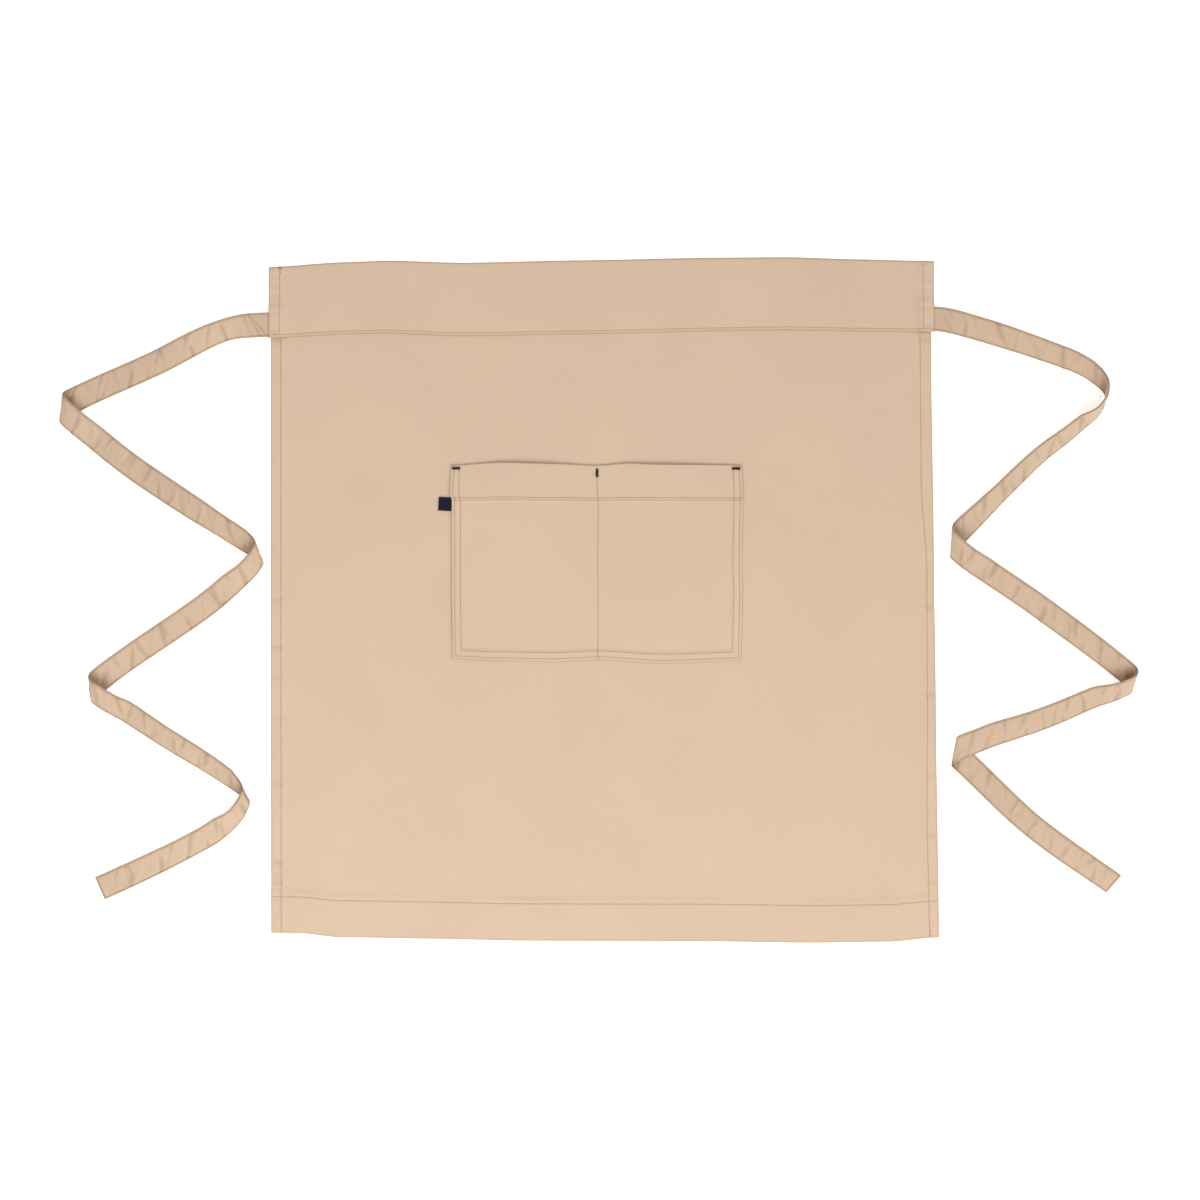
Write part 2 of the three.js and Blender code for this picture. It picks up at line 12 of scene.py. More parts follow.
import bpy
import numpy as np
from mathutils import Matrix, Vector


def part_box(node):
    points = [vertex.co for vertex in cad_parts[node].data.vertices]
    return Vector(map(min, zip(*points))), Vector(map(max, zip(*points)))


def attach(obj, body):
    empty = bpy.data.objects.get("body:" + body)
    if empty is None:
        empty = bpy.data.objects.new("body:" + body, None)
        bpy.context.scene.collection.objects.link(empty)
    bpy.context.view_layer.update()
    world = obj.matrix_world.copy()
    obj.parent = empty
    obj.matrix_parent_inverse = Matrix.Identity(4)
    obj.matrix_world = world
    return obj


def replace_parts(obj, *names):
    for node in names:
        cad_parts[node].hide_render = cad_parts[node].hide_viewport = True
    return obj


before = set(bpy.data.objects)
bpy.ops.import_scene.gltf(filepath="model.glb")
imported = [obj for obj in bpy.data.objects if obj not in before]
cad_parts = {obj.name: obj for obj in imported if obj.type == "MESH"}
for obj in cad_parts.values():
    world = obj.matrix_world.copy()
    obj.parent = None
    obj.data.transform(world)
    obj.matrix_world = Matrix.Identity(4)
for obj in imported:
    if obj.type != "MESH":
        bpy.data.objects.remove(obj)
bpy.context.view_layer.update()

print("plain solids:", sorted(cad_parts))

# %% [markdown]
# ## Camera, floor and light
#
# The apron was pictured from straight above, so the camera looks straight down. One pixel of a
# picture 1200 pixels wide is 1.148 mm on the floor, and the lens is chosen for that width.
# A studio of this kind has a white table that glows a little and very large soft lamps. Here
# that is a pale floor, an even white sky, one broad lamp that stands a little towards the
# apron's hem, and a weak soft light from the side that brings out the creases.

# %% Camera
MM = 0.001
PIXEL = 1.148
PICTURE_WIDTH = 1200 * PIXEL * MM
CAMERA_HEIGHT = 2.6
FILM_WIDTH = 36.0


def put_object(name, data):
    """A new object of the scene with the given data."""
    made = bpy.data.objects.new(name, data)
    bpy.context.scene.collection.objects.link(made)
    return made


camera_data = bpy.data.cameras.new("camera")
camera_data.sensor_width = FILM_WIDTH
camera_data.lens = FILM_WIDTH * CAMERA_HEIGHT / PICTURE_WIDTH
camera_data.clip_end = 20.0
camera = put_object("camera", camera_data)
camera.location = (-3.4 * MM, 0.3 * MM, CAMERA_HEIGHT)
bpy.context.scene.camera = camera
bpy.context.scene.view_settings.view_transform = "Standard"
print("lens:", round(camera_data.lens, 1), "mm")

# %% Floor
FLOOR_HALF = 20.0
FLOOR_DROP = 0.3 * MM
FLOOR_GLOW = 0.52


def new_material(name):
    """A material without nodes, and a function that adds one node to it.

    The function sets plain values, links the outputs of other nodes, and returns one output.
    """
    material = bpy.data.materials.new(name)
    material.use_nodes = True
    tree = material.node_tree
    tree.nodes.clear()

    def node(kind, output, **values):
        made = tree.nodes.new("ShaderNode" + kind)
        for key, value in values.items():
            if isinstance(value, bpy.types.NodeSocket):
                tree.links.new(value, made.inputs[key])
            elif key in made.inputs:
                made.inputs[key].default_value = value
            else:
                setattr(made, key, value)
        return made.outputs[output] if output else None

    return material, node


def add_surface(node, values):
    """Adds the surface shader with its values, and the material's output."""
    node("OutputMaterial", None, Surface=node("BsdfPrincipled", "BSDF", **values))


corners = [(-1, -1), (1, -1), (1, 1), (-1, 1)]
floor_points = [(FLOOR_HALF * x, FLOOR_HALF * y, -FLOOR_DROP) for x, y in corners]
floor_mesh = bpy.data.meshes.new("floor")
floor_mesh.from_pydata(floor_points, [], [(0, 1, 2, 3)])
floor_paint, node = new_material("floor_paint")
add_surface(node, {
    "Base Color": (0.93, 0.93, 0.93, 1),
    "Roughness": 0.9,
    "Specular IOR Level": 0.1,
    "Emission Color": (1.0, 1.0, 1.0, 1),
    "Emission Strength": FLOOR_GLOW,
})
floor_mesh.materials.append(floor_paint)
floor = put_object("floor", floor_mesh)

# %% Light
SKY_STRENGTH = 0.56
LAMP_PLACE = (-0.2, -1.9, 2.3)
LAMP_POWER = 62.0
LAMP_SIZE = 2.2
SIDE_LIGHT = 0.75
SIDE_SOFTNESS = 0.6

sky = bpy.data.worlds.new("sky")
sky.use_nodes = True
background = sky.node_tree.nodes["Background"]
background.inputs["Color"].default_value = (1.0, 1.0, 1.0, 1)
background.inputs["Strength"].default_value = SKY_STRENGTH
bpy.context.scene.world = sky

# The broad lamp is a soft square that faces the middle of the apron
lamp_data = bpy.data.lights.new("broad_lamp", "AREA")
lamp_data.size = LAMP_SIZE
lamp_data.energy = LAMP_POWER
broad_lamp = put_object("broad_lamp", lamp_data)
broad_lamp.location = LAMP_PLACE
aim = -np.array(LAMP_PLACE)
drop = np.arccos(-aim[2] / np.linalg.norm(aim))
broad_lamp.rotation_euler = (drop, 0, np.arctan2(aim[1], aim[0]) - np.pi / 2)
side_data = bpy.data.lights.new("side_light", "SUN")
side_data.energy = SIDE_LIGHT
side_data.angle = SIDE_SOFTNESS
side_light = put_object("side_light", side_data)
side_light.rotation_euler = (np.radians(-14), np.radians(46), 0)
print("lights:", [light.name for light in bpy.data.lights])

# %% [markdown]
# ## Sizes of the apron
#
# All sizes are in millimetres and follow the plain solids. The label, the pocket's left edge
# and the ties were moved a little from there, to lie where the pictured ones do. The laid cloth
# has slightly wavy edges: each short table gives the wave at a few shares of an edge, and the
# values are eased between its rows.

# %% Sizes
CLOTH = 1.0
GAP = 0.3
APRON_WIDTH = 762
APRON_LENGTH = 777
SIDE_HEM = 13
BOTTOM_HEM = 46
HEM_SLOPE = 5
HEM_LIP = 0.5
EDGE_WAVE = 6
WAISTBAND_DEPTH = 81.5
WAISTBAND_EASE = 3
WAISTBAND_STAND_LEFT = 2.0
WAISTBAND_STAND_RIGHT = 3.3
POCKET_WIDTH = 334
POCKET_HEIGHT = 225
POCKET_FROM_TOP = 233
POCKET_SHIFT = -7
POCKET_HEM = 41
POCKET_TURNING = 11
POCKET_WAVE = 3.4
MOUTH_GAPE = 2.2
POCKET_EASE = 0.4
POCKET_DIVIDER = 0.503
LABEL_WIDTH = 15.5
LABEL_REACH = 15.3
LABEL_TUCK = 4
LABEL_THICKNESS = 1.0
LABEL_FROM_MOUTH = 45.4
LABEL_TURN = -3
LABEL_FLARE = 14
TACK_LENGTH = 9.8
TACK_WIDTH = 2.6
TACK_HEIGHT = 1.3
TACK_FROM_MOUTH = 3.9
TIE_LENGTH = 1220
TIE_WIDTH = 28
TIE_THICKNESS = 1.6
TIE_TUCK = 11.5
TIE_ABOVE_SEAM = 1.2
ROOT_EASE = 2
ROOT_FLARE = 11

# %% Wavy edges: share of the edge, and share of the wave outwards
TOP_EDGE = [
    (0, -1.05), (0.11, -0.1), (0.18, 0.2), (0.29, -0.2), (0.47, 0.28),
    (0.67, 0.77), (0.78, 0.87), (0.88, 0.48), (1, 0.1),
]
BOTTOM_EDGE = [
    (0, -1.15), (0.045, -1.05), (0.1, -0.29), (0.24, 0), (0.38, 0.38),
    (0.64, 0.48), (0.81, 0.77), (0.93, 0.55), (0.99, -0.19), (1, -0.29),
]
LEFT_EDGE = [(0, -0.05), (0.5, 0.05), (1, 0.05)]
RIGHT_EDGE = [(0, 0.77), (0.33, 0.2), (0.56, -0.19), (0.85, -0.7), (1, -0.8)]
MOUTH_EDGE = [
    (0, -0.2), (0.17, 0.8), (0.37, 0.3), (0.5, -0.25),
    (0.61, 0.5), (0.72, 0.05), (0.9, 0), (1, -0.2),
]
POCKET_FOOT = [(0, -0.8), (0.15, 0), (0.36, 0.3), (0.505, -0.4), (0.73, 0.9), (1, 0)]
POCKET_LEFT = [(0, -0.35), (0.45, -0.05), (0.82, -0.15), (0.85, 0.55), (1, 0.2)]
POCKET_RIGHT = [(0, -0.4), (0.35, 0.1), (0.5, -0.15), (0.87, 0.25), (1, -0.3)]


def mix(start, end, share):
    """A value that goes evenly from start to end as share goes from 0 to 1."""
    return start + (end - start) * share


def smooth(value):
    """Three squares less two cubes of value, which is held between 0 and 1."""
    value = np.clip(value, 0, 1)
    return value**2 * (3 - 2 * value)


def edge_wave(table, along):
    """The table's value at each share: half a straight line and half an eased step per row."""
    at, out = np.array(table, float).T
    row = np.clip(np.searchsorted(at, along, side="left") - 1, 0, len(at) - 2)
    share = np.clip((along - at[row]) / (at[row + 1] - at[row]), 0, 1)
    return mix(out[row], out[row + 1], (share + smooth(share)) / 2)


def edge_line(size, table):
    """A function for one edge: half a size out from the middle, and the edge's wave on it."""
    return lambda share: size / 2 + np.sign(size) * EDGE_WAVE * edge_wave(table, share)


# Y of the apron's top and foot at a share of its width, X of its sides at a share of its length
top_line = edge_line(APRON_LENGTH, TOP_EDGE)
bottom_line = edge_line(-APRON_LENGTH, BOTTOM_EDGE)
left_line = edge_line(-APRON_WIDTH, LEFT_EDGE)
right_line = edge_line(APRON_WIDTH, RIGHT_EDGE)


def hem_layer(distance, depth, slope=HEM_SLOPE):
    """One layer as far in as the hem's depth, then an eased step down to none."""
    return 1 - smooth((distance - depth) / slope)


# %% [markdown]
# ## From grids of points to closed cloth
#
# A piece of cloth is two grids of points, its upper face and its under face, joined round the
# rim. The joined mesh is one closed body with its faces pointing outwards. Each point also
# carries its place on the flat cloth, for the weave, and a share from 0 to 1 of a darker tone.
# That share marks the seams, and it is also painted shade along folded edges, in the hollows
# of creases and puckers and inside the ties' loops.

# %% Mesh helpers
def put_mesh(name, points, faces, material):
    """Makes an object on the root body from points in millimetres and lists of faces."""
    mesh = bpy.data.meshes.new(name)
    mesh.from_pydata((points * MM).tolist(), [], faces)
    mesh.polygons.foreach_set("use_smooth", [True] * len(mesh.polygons))
    mesh.materials.append(material)
    mesh.update()
    piece = put_object(name, mesh)
    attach(piece, "root")
    print(name, len(points), "points", len(faces), "faces")
    return piece


def closed_sheet(name, solid, grids, flat, seam_and_painted_shade, material):
    """Closed cloth in place of a solid, from the grids of its upper and its under face.

    Both faces are made of quads, and a rim joins their outlines.
    """
    rows, columns = grids[0].shape[:2]
    number = np.arange(rows * columns).reshape(rows, columns)
    below = number + rows * columns

    def quads(a, b, c, d):
        return np.stack([a, b, c, d], -1).reshape(-1, 4)

    top = quads(number[:-1, :-1], number[:-1, 1:], number[1:, 1:], number[1:, :-1])
    under = quads(below[:-1, :-1], below[1:, :-1], below[1:, 1:], below[:-1, 1:])
    rim = np.concatenate(
        [number[0, :-1], number[:-1, -1], number[-1, :0:-1], number[:0:-1, 0]]
    )
    ahead = np.roll(rim, -1)
    wall = quads(rim + rows * columns, ahead + rows * columns, ahead, rim)
    faces = np.concatenate([top, under, wall])
    points = np.concatenate([grid.reshape(-1, 3) for grid in grids])
    piece = put_mesh(name, points, faces.tolist(), material)
    mesh = piece.data
    corner = np.empty(len(mesh.loops), int)
    mesh.loops.foreach_get("vertex_index", corner)
    place = np.concatenate([flat.reshape(-1, 2)] * 2) * MM
    mesh.uv_layers.new(name="cloth").data.foreach_set("uv", place[corner].ravel())
    # Each point's share of the darker tone: seam marks and painted shade
    shade = np.broadcast_to(np.clip(seam_and_painted_shade, 0, 1), (rows, columns)).ravel()
    seam_and_shade_layer = mesh.attributes.new("seam_and_painted_shade", "FLOAT", "POINT")
    seam_and_shade_layer.data.foreach_set("value", np.concatenate([shade] * 2))
    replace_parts(piece, solid)
    return piece


def rounding(distance, radius):
    """Share of the full thickness at a distance from an edge: a quarter round over a radius."""
    inside = np.clip(1 - distance / radius, 0, 1)
    return 0.3 + 0.7 * np.sqrt(1 - inside**2)


def two_faces(x, y, top, under, edge_at, radius):
    """Grids of both faces, drawn together round the middle of the cloth at its edges."""
    middle = (top + under) / 2
    half = (top - under) / 2 * rounding(edge_at, radius)
    return [np.dstack([x, y, middle + half]), np.dstack([x, y, middle - half])]


def line_mark(distance, width):
    """A soft mark, 1 on a line and falling off like a bell over a width."""
    return np.exp(-((distance / width) ** 2))


def line_marks(*marks):
    """Sum of soft marks, each given as its strength, its distance and its width."""
    return sum(strength * line_mark(distance, width) for strength, distance, width in marks)


def from_sides(across, width):
    """Distance of a place from the nearer side of a piece."""
    return np.minimum(across, 1 - across) * width


def unit(vectors):
    """The same directions with length one."""
    return vectors / np.linalg.norm(vectors, axis=-1, keepdims=True)


def length_along(points):
    """Length of a line of points up to each of them."""
    steps = np.linalg.norm(np.diff(points, axis=0), axis=-1)
    return np.concatenate([[0], np.cumsum(steps)])


def values_at(where, at, table):
    """The table's columns at other places, where its rows stand at the given places."""
    return np.stack([np.interp(where, at, column) for column in table.T], -1)


def stops(length, near_start, near_end, step):
    """Shares of a length: given stops at both ends, and even steps between them."""
    first = near_start[-1]
    last = length - near_end[-1]
    count = int(round((last - first) / step))
    middle = np.linspace(first, last, count + 1)[1:-1]
    return np.concatenate([near_start, middle, length - np.array(near_end)[::-1]]) / length


# %% [markdown]
# ## Twill
#
# Twill is woven so that each yarn passes over two and under one, a step further on each row.
# That gives fine slanting ribs. Here a slanting wave makes the ribs and a finer wave cuts them
# into yarns. Both only move the surface's normal. Colour comes from one base tone with broad
# soft patches, thin streaks where a yarn is thicker, and a darker tone. The darker tone is
# partly real, along the seams where the cloth is pressed and thread shows, and partly painted
# shade along folded edges, in the hollows of creases and puckers and inside the ties' loops.

# %% Twill material
RIB_SCALE = 520.0
YARN_SCALE = 430.0
STREAK_SCALE = (900.0, 28.0, 1.0)


def twill_material(name, tone, seam_and_shade_tone, patch=0.05):
    """Beige twill: slanting ribs and yarns as bump, with patches, streaks, and a darker tone for
    seams and painted shade.
    """
    material, node = new_material(name)

    def noise(place, scale, detail=2.0):
        return node("TexNoise", "Fac", Vector=place, Scale=scale, Detail=detail)

    def wave(direction, scale, wobble):
        return node(
            "TexWave", "Fac", bands_direction=direction, Vector=flat, Scale=scale, Distortion=wobble
        )

    def blend(a, b, factor, kind="MIX"):
        return node(
            "Mix", "Result", data_type="RGBA", blend_type=kind, Factor=factor, A=a, B=b
        )

    flat = node("UVMap", "UV", uv_map="cloth")
    ribs = wave("DIAGONAL", RIB_SCALE, 0.6)
    yarns = wave("X", YARN_SCALE, 0.8)
    woven = node("Mix", "Result", data_type="FLOAT", Factor=0.35, A=ribs, B=yarns)
    fuzz = noise(flat, 2600.0)
    surface = node("Mix", "Result", data_type="FLOAT", Factor=0.25, A=woven, B=fuzz)

    darker, lighter = (tuple(c * (1 + change) for c in tone) for change in (-patch, patch))
    tones = blend((*darker, 1), (*lighter, 1), noise(flat, 9.0, 3.0))
    streaks = noise(node("Mapping", "Vector", Vector=flat, Scale=STREAK_SCALE), 1.0)
    streaked = blend(tones, streaks, 0.04, "OVERLAY")
    grained = blend(streaked, noise(flat, 330.0), 0.06, "OVERLAY")
    # The darker tone is mixed in by each point's share of seam marks and painted shade
    seam_and_painted_shade = node("Attribute", "Fac", attribute_name="seam_and_painted_shade")
    add_surface(node, {
        "Base Color": blend(grained, (*seam_and_shade_tone, 1), seam_and_painted_shade),
        "Roughness": 0.88,
        "Specular IOR Level": 0.25,
        "Sheen Weight": 0.12,
        "Sheen Roughness": 0.5,
        "Normal": node("Bump", "Normal", Strength=0.55, Distance=0.00022, Height=surface),
    })
    return material


# The last tone of each twill is the darker tone of seams and of painted shade
twill = twill_material("twill", (0.624, 0.462, 0.334), (0.41, 0.26, 0.125))
tie_twill = twill_material("tie_twill", (0.562, 0.411, 0.29), (0.23, 0.14, 0.07), 0.07)

# %% [markdown]
# ## Stitches
#
# A machine stitch shows as a short length of thread that dips into the cloth at both ends. Each
# one is a small five-sided tube along its row. The thread is a shade darker than the cloth.
# A row is given as points on the cloth with the direction that faces out of it there.

# %% Thread material and rows of stitches
STITCH_PITCH = 2.6
STITCH_SPACE = 0.95
THREAD_RADIUS = 0.29
THREAD_SIDES = 5
THREAD_TWIST = 1300.0
THREAD_STATIONS = np.array([0, 0.22, 0.78, 1])
THREAD_THICKNESS = np.array([0.6, 1, 1, 0.6])
THREAD_HEIGHT = np.array([-0.22, 0.14, 0.14, -0.22])
UPWARDS = np.array([0.0, 0.0, 1.0])
EVEN = np.linspace(0, 1, 400)


def banded_material(name, direction, scale, wobble, bump, tones, roughness, shine):
    """Fine bands as bump, of one tone or from one tone to another."""
    material, node = new_material(name)
    place = node("TexCoord", "Object")
    bands = node(
        "TexWave", "Fac", bands_direction=direction, Vector=place, Scale=scale, Distortion=wobble
    )
    colour = (*tones[0], 1)
    if len(tones) == 2:
        colour = node("Mix", "Result", data_type="RGBA", Factor=bands, A=colour, B=(*tones[1], 1))
    add_surface(node, {
        "Base Color": colour,
        "Roughness": roughness,
        "Specular IOR Level": shine,
        "Normal": node("Bump", "Normal", Strength=bump[0], Distance=bump[1], Height=bands),
    })
    return material


def thread_material(name, tone):
    """Twisted thread: fine slanting bands and a little change of tone."""
    tones = [[c * change for c in tone] for change in (0.85, 1.1)]
    return banded_material(name, "DIAGONAL", THREAD_TWIST, 1.0, (0.6, 0.0001), tones, 0.6, 0.3)


tan_thread = thread_material("tan_thread", (0.35, 0.222, 0.1))
knot_thread = thread_material("knot_thread", (0.25, 0.14, 0.055))


def stitch_row(row, facing, radius):
    """Points and faces of one row: a closed tube of four rings for each stitch.

    Each ring is a circle round the row's line, in the plane of the cloth's outward direction
    and the direction across the row. The end rings are smaller and sunk into the cloth.
    """
    at = length_along(row)
    count = int(at[-1] / STITCH_PITCH)
    starts = np.arange(count)[:, None] * at[-1] / count
    where = starts + STITCH_SPACE / 2 + THREAD_STATIONS * (STITCH_PITCH - STITCH_SPACE)
    place = values_at(where, at, row)
    out = unit(values_at(where, at, facing))
    side = np.cross(out, unit(place[:, -1:] - place[:, :1]))
    angle = np.arange(THREAD_SIDES) * 2 * np.pi / THREAD_SIDES
    circle = np.cos(angle)[:, None] * side[:, :, None] + np.sin(angle)[:, None] * out[:, :, None]
    centre = place + out * THREAD_HEIGHT[:, None]
    rings = centre[:, :, None] + circle * (THREAD_THICKNESS * radius)[:, None, None]
    points = rings.reshape(-1, 3)
    number = np.arange(len(points)).reshape(count, len(THREAD_STATIONS), THREAD_SIDES)
    ahead = np.roll(number, -1, axis=2)
    walls = np.stack([number[:, :-1], ahead[:, :-1], ahead[:, 1:], number[:, 1:]], -1)
    caps = np.concatenate([number[:, 0, ::-1], number[:, -1]])
    return points, walls.reshape(-1, 4).tolist() + caps.tolist()


def put_stitches(name, rows, material, radius=THREAD_RADIUS):
    """One mesh for all the stitch rows of a piece, none of it below the floor."""
    points, faces, used = [], [], 0
    for row, facing in rows:
        row_points, row_faces = stitch_row(row, np.broadcast_to(facing, row.shape), radius)
        points.append(row_points)
        faces += [[i + used for i in face] for face in row_faces]
        used += len(row_points)
    points = np.concatenate(points)
    points[:, 2] = np.maximum(points[:, 2], 0)
    return put_mesh(name, points, faces, material)


def row_on(plan, height, across, along):
    """A row of places on a piece of laid cloth, from the piece's own plan and height."""
    across, along = np.broadcast_arrays(across, along)
    x, y = plan(across, along)
    return np.column_stack([x, y, height(across, along)]), UPWARDS


# %% [markdown]
# ## Main panel
#
# The main panel is one cloth with its sides turned under once and a deep hem at its foot. The
# turned hem lies beneath, so from above only a soft step shows where it ends, and a row of
# stitches just inside that step. The cloth draws up a little along each row: those are the
# small cross puckers between the stitching and the folded edge.

# %% Puckers and soft waves
PUCKER = 0.75
LEFT_PUCKERS = [0.93, 0.89, 0.835, 0.5, 0.43, 0.385, 0.325, 0.225, 0.105, 0.09, 0.075]
RIGHT_PUCKERS = [0.985, 0.9, 0.885, 0.545, 0.49, 0.36, 0.24, 0.15, 0.08]


def puckers(distance, table):
    """Fine uneven ripples, and a deeper crease at each place of the table."""
    ripple = np.sin(distance / 1.9) * np.sin(distance / 5.3 + 1) * np.sin(distance / 17.0)
    creases = np.array(table) * APRON_LENGTH
    return 0.35 * ripple + line_mark(distance[..., None] - creases, 2.2).sum(-1)


def soft_waves(x, y):
    """Very low waves of laid cloth: a few long sines of both directions."""
    return (
        0.16 * np.sin(x / 61 + np.sin(y / 140) * 1.5)
        + 0.14 * np.sin(y / 47 + np.sin(x / 120) * 2)
        + 0.10 * np.sin((x + y) / 29 + 1.1 * np.sin((x - y) / 95))
    )


# %% Shape of the panel
SIDE_STITCH = 11.6
FOOT_STITCH = 42.4
STITCH_SINK = 0.16
ROW_MARK = 0.6
HEM_PAST_ROW = 1.4
HEM_FALL = 6
HEM_RISE = 0.6
TOP_INSET = CLOTH + 2 * GAP
# The right row of stitches wanders: share of the length, and distance from the edge
RIGHT_ROW = [
    (0, 10.8), (0.17, 12), (0.33, 9.8), (0.555, 8.5), (0.66, 13.6), (0.8, 12.9), (1, 12.9),
]


def panel_at(across, along):
    """Distances of a place and of the side stitching from the nearer side, and from the foot."""
    row = np.where(across < 0.5, SIDE_STITCH, edge_wave(RIGHT_ROW, along))
    return from_sides(across, APRON_WIDTH), row, along * APRON_LENGTH


def hem_puckers(across, along):
    """Small cross creases of a side hem, from its edge to just past its stitching."""
    side_at, row, foot_at = panel_at(across, along)
    left, right = puckers(foot_at, LEFT_PUCKERS), puckers(foot_at, RIGHT_PUCKERS)
    cross = np.where(across < 0.5, left, right)
    return cross * smooth(side_at / 4) * (1 - smooth((side_at - row + 1) / 7))


def panel_plan(across, along):
    """X and Y of a place on the panel: evenly between its wavy edges."""
    x = mix(left_line(along), right_line(along), across)
    y = mix(bottom_line(across), top_line(across) - TOP_INSET, along)
    return x, y


def panel_top(across, along):
    """Height of the upper face: one cloth, a layer more on each hem, less the stitch rows."""
    side_at, row, foot_at = panel_at(across, along)
    side = hem_layer(side_at, row + HEM_PAST_ROW, HEM_FALL)
    foot = hem_layer(foot_at, BOTTOM_HEM, HEM_FALL)
    x, y = panel_plan(across, along)
    height = CLOTH * (1 + HEM_RISE * (side + foot)) + soft_waves(x, y) * (1 - side) * (1 - foot)
    height -= STITCH_SINK * line_marks((1, side_at - row, 0.9), (1, foot_at - FOOT_STITCH, 0.9))
    height -= PUCKER * hem_puckers(across, along)
    ripple = np.sin(x / 3.1) * np.sin(x / 8.7 + 2) * np.sin(x / 31)
    return height + 0.12 * line_mark(foot_at - FOOT_STITCH, 6) * ripple


def panel_under(across, along):
    """Height of the under face: on the floor, and just off it past the inner edge of a hem."""
    side_at, row, foot_at = panel_at(across, along)
    side_depth = row + HEM_PAST_ROW
    side = hem_layer(side_at, side_depth, HEM_FALL)
    foot = hem_layer(foot_at, BOTTOM_HEM, HEM_FALL)
    beside = np.clip((side_at - side_depth) / HEM_LIP, 0, 1) * side * (1 - foot)
    above = np.clip((foot_at - BOTTOM_HEM) / HEM_LIP, 0, 1) * foot * (1 - side)
    return CLOTH * np.maximum(beside, above) * 0.9


# Distances in from an edge at which the grids have a line: close together at folds and seams
EDGE_STOPS = [0, 0.15, 0.4, 0.8, 1.4, 2.2, 3.2]
HEM_STOPS = EDGE_STOPS + [
    4.5, 6, 7.2, 7.8, 8.4, 8.9, 9.4, 9.9, 10.4, 10.8, 11.2, 11.6, 12, 12.4, 12.9,
    13.4, 13.9, 14.5, 15.2, 16, 17.2, 18.6, 20.5, 23,
]
FOOT_STOPS = EDGE_STOPS + [
    5, 8, 12, 16, 20, 24, 28, 32, 36, 39, 40.8, 41.6, 42, 42.4,
    42.8, 43.2, 44, 45, 46, 46.6, 47.4, 48.2, 49.2, 51, 54,
]
PANEL_STEP = 4.6

across, along = np.meshgrid(
    stops(APRON_WIDTH, HEM_STOPS, HEM_STOPS, PANEL_STEP),
    stops(APRON_LENGTH, FOOT_STOPS, [0, 0.4, 2], PANEL_STEP),
)
x, y = panel_plan(across, along)
side_at, side_row, foot_at = panel_at(across, along)
edge_at = np.minimum(side_at, foot_at)
# Darker tone: painted shade along the folded edges, and the marks of the stitch rows
panel_seam_and_shade = line_marks(
    (0.75, edge_at, 1.2),
    (0.32, side_at - side_row, ROW_MARK),
    (0.36, foot_at - FOOT_STITCH, ROW_MARK),
)
panel_cloth = closed_sheet(
    "panel_cloth",
    "apron_panel",
    two_faces(x, y, panel_top(across, along), panel_under(across, along), edge_at, 1.0),
    np.dstack([x, y]),
    # Painted shade in the hollows of the hem's puckers
    panel_seam_and_shade + 0.26 * smooth(hem_puckers(across, along)),
    twill,
)

up_panel = mix(0.004, 1 - (WAISTBAND_DEPTH + 1.5) / APRON_LENGTH, EVEN)
right_share = 1 - edge_wave(RIGHT_ROW, up_panel) / APRON_WIDTH
panel_rows = [
    row_on(panel_plan, panel_top, SIDE_STITCH / APRON_WIDTH, up_panel),
    row_on(panel_plan, panel_top, right_share, up_panel),
    row_on(panel_plan, panel_top, EVEN, FOOT_STITCH / APRON_LENGTH),
]
panel_stitching = put_stitches("panel_stitching", panel_rows, tan_thread)

# %% [markdown]
# ## Waistband
#
# The waistband is a band of the same twill, turned to the front over the panel's top edge and
# topstitched along its lower edge. Its rows of points run up the front from the stitched edge,
# round the fold and down in front of the panel's edge. Near each end it swells over the root
# of a tie, which lies between the band and the panel.

# %% Shape of the waistband
TOPSTITCH = 3.3
END_STITCH = SIDE_STITCH + 1
BAND_FOLD = 1.7
BAND_WIDTH = APRON_WIDTH + WAISTBAND_STAND_LEFT + WAISTBAND_STAND_RIGHT
ROOT_ABOVE_SEAM = TIE_WIDTH / 2 + TIE_ABOVE_SEAM
ROOT_HEIGHT = 2 * CLOTH + GAP


def band_depth(across):
    """Depth of the band: a little deeper in the middle, as half a sine."""
    return WAISTBAND_DEPTH + WAISTBAND_EASE * np.sin(np.pi * across)


def seam_line(across):
    """Y of the band's stitched lower edge."""
    return top_line(across) - band_depth(across)


def root_swell(from_end, above_seam):
    """Share by which the band is lifted over a tie's root, eased off beside and inside it."""
    inwards = from_end - TIE_TUCK - ROOT_EASE
    beside = np.abs(above_seam - ROOT_ABOVE_SEAM) - TIE_WIDTH / 2 - ROOT_EASE
    return (1 - smooth(inwards / ROOT_FLARE)) * (1 - smooth(beside / ROOT_FLARE))


def band_under(across, above_seam):
    """Height of the band's under face: just above the panel, its hems and the ties' roots."""
    from_end = from_sides(across, BAND_WIDTH)
    from_side = np.minimum(
        across * BAND_WIDTH - WAISTBAND_STAND_LEFT,
        (1 - across) * BAND_WIDTH - WAISTBAND_STAND_RIGHT,
    )
    held = root_swell(from_end, above_seam) * (TIE_THICKNESS + GAP)
    return CLOTH * (1 + hem_layer(from_side, SIDE_HEM)) + GAP + held


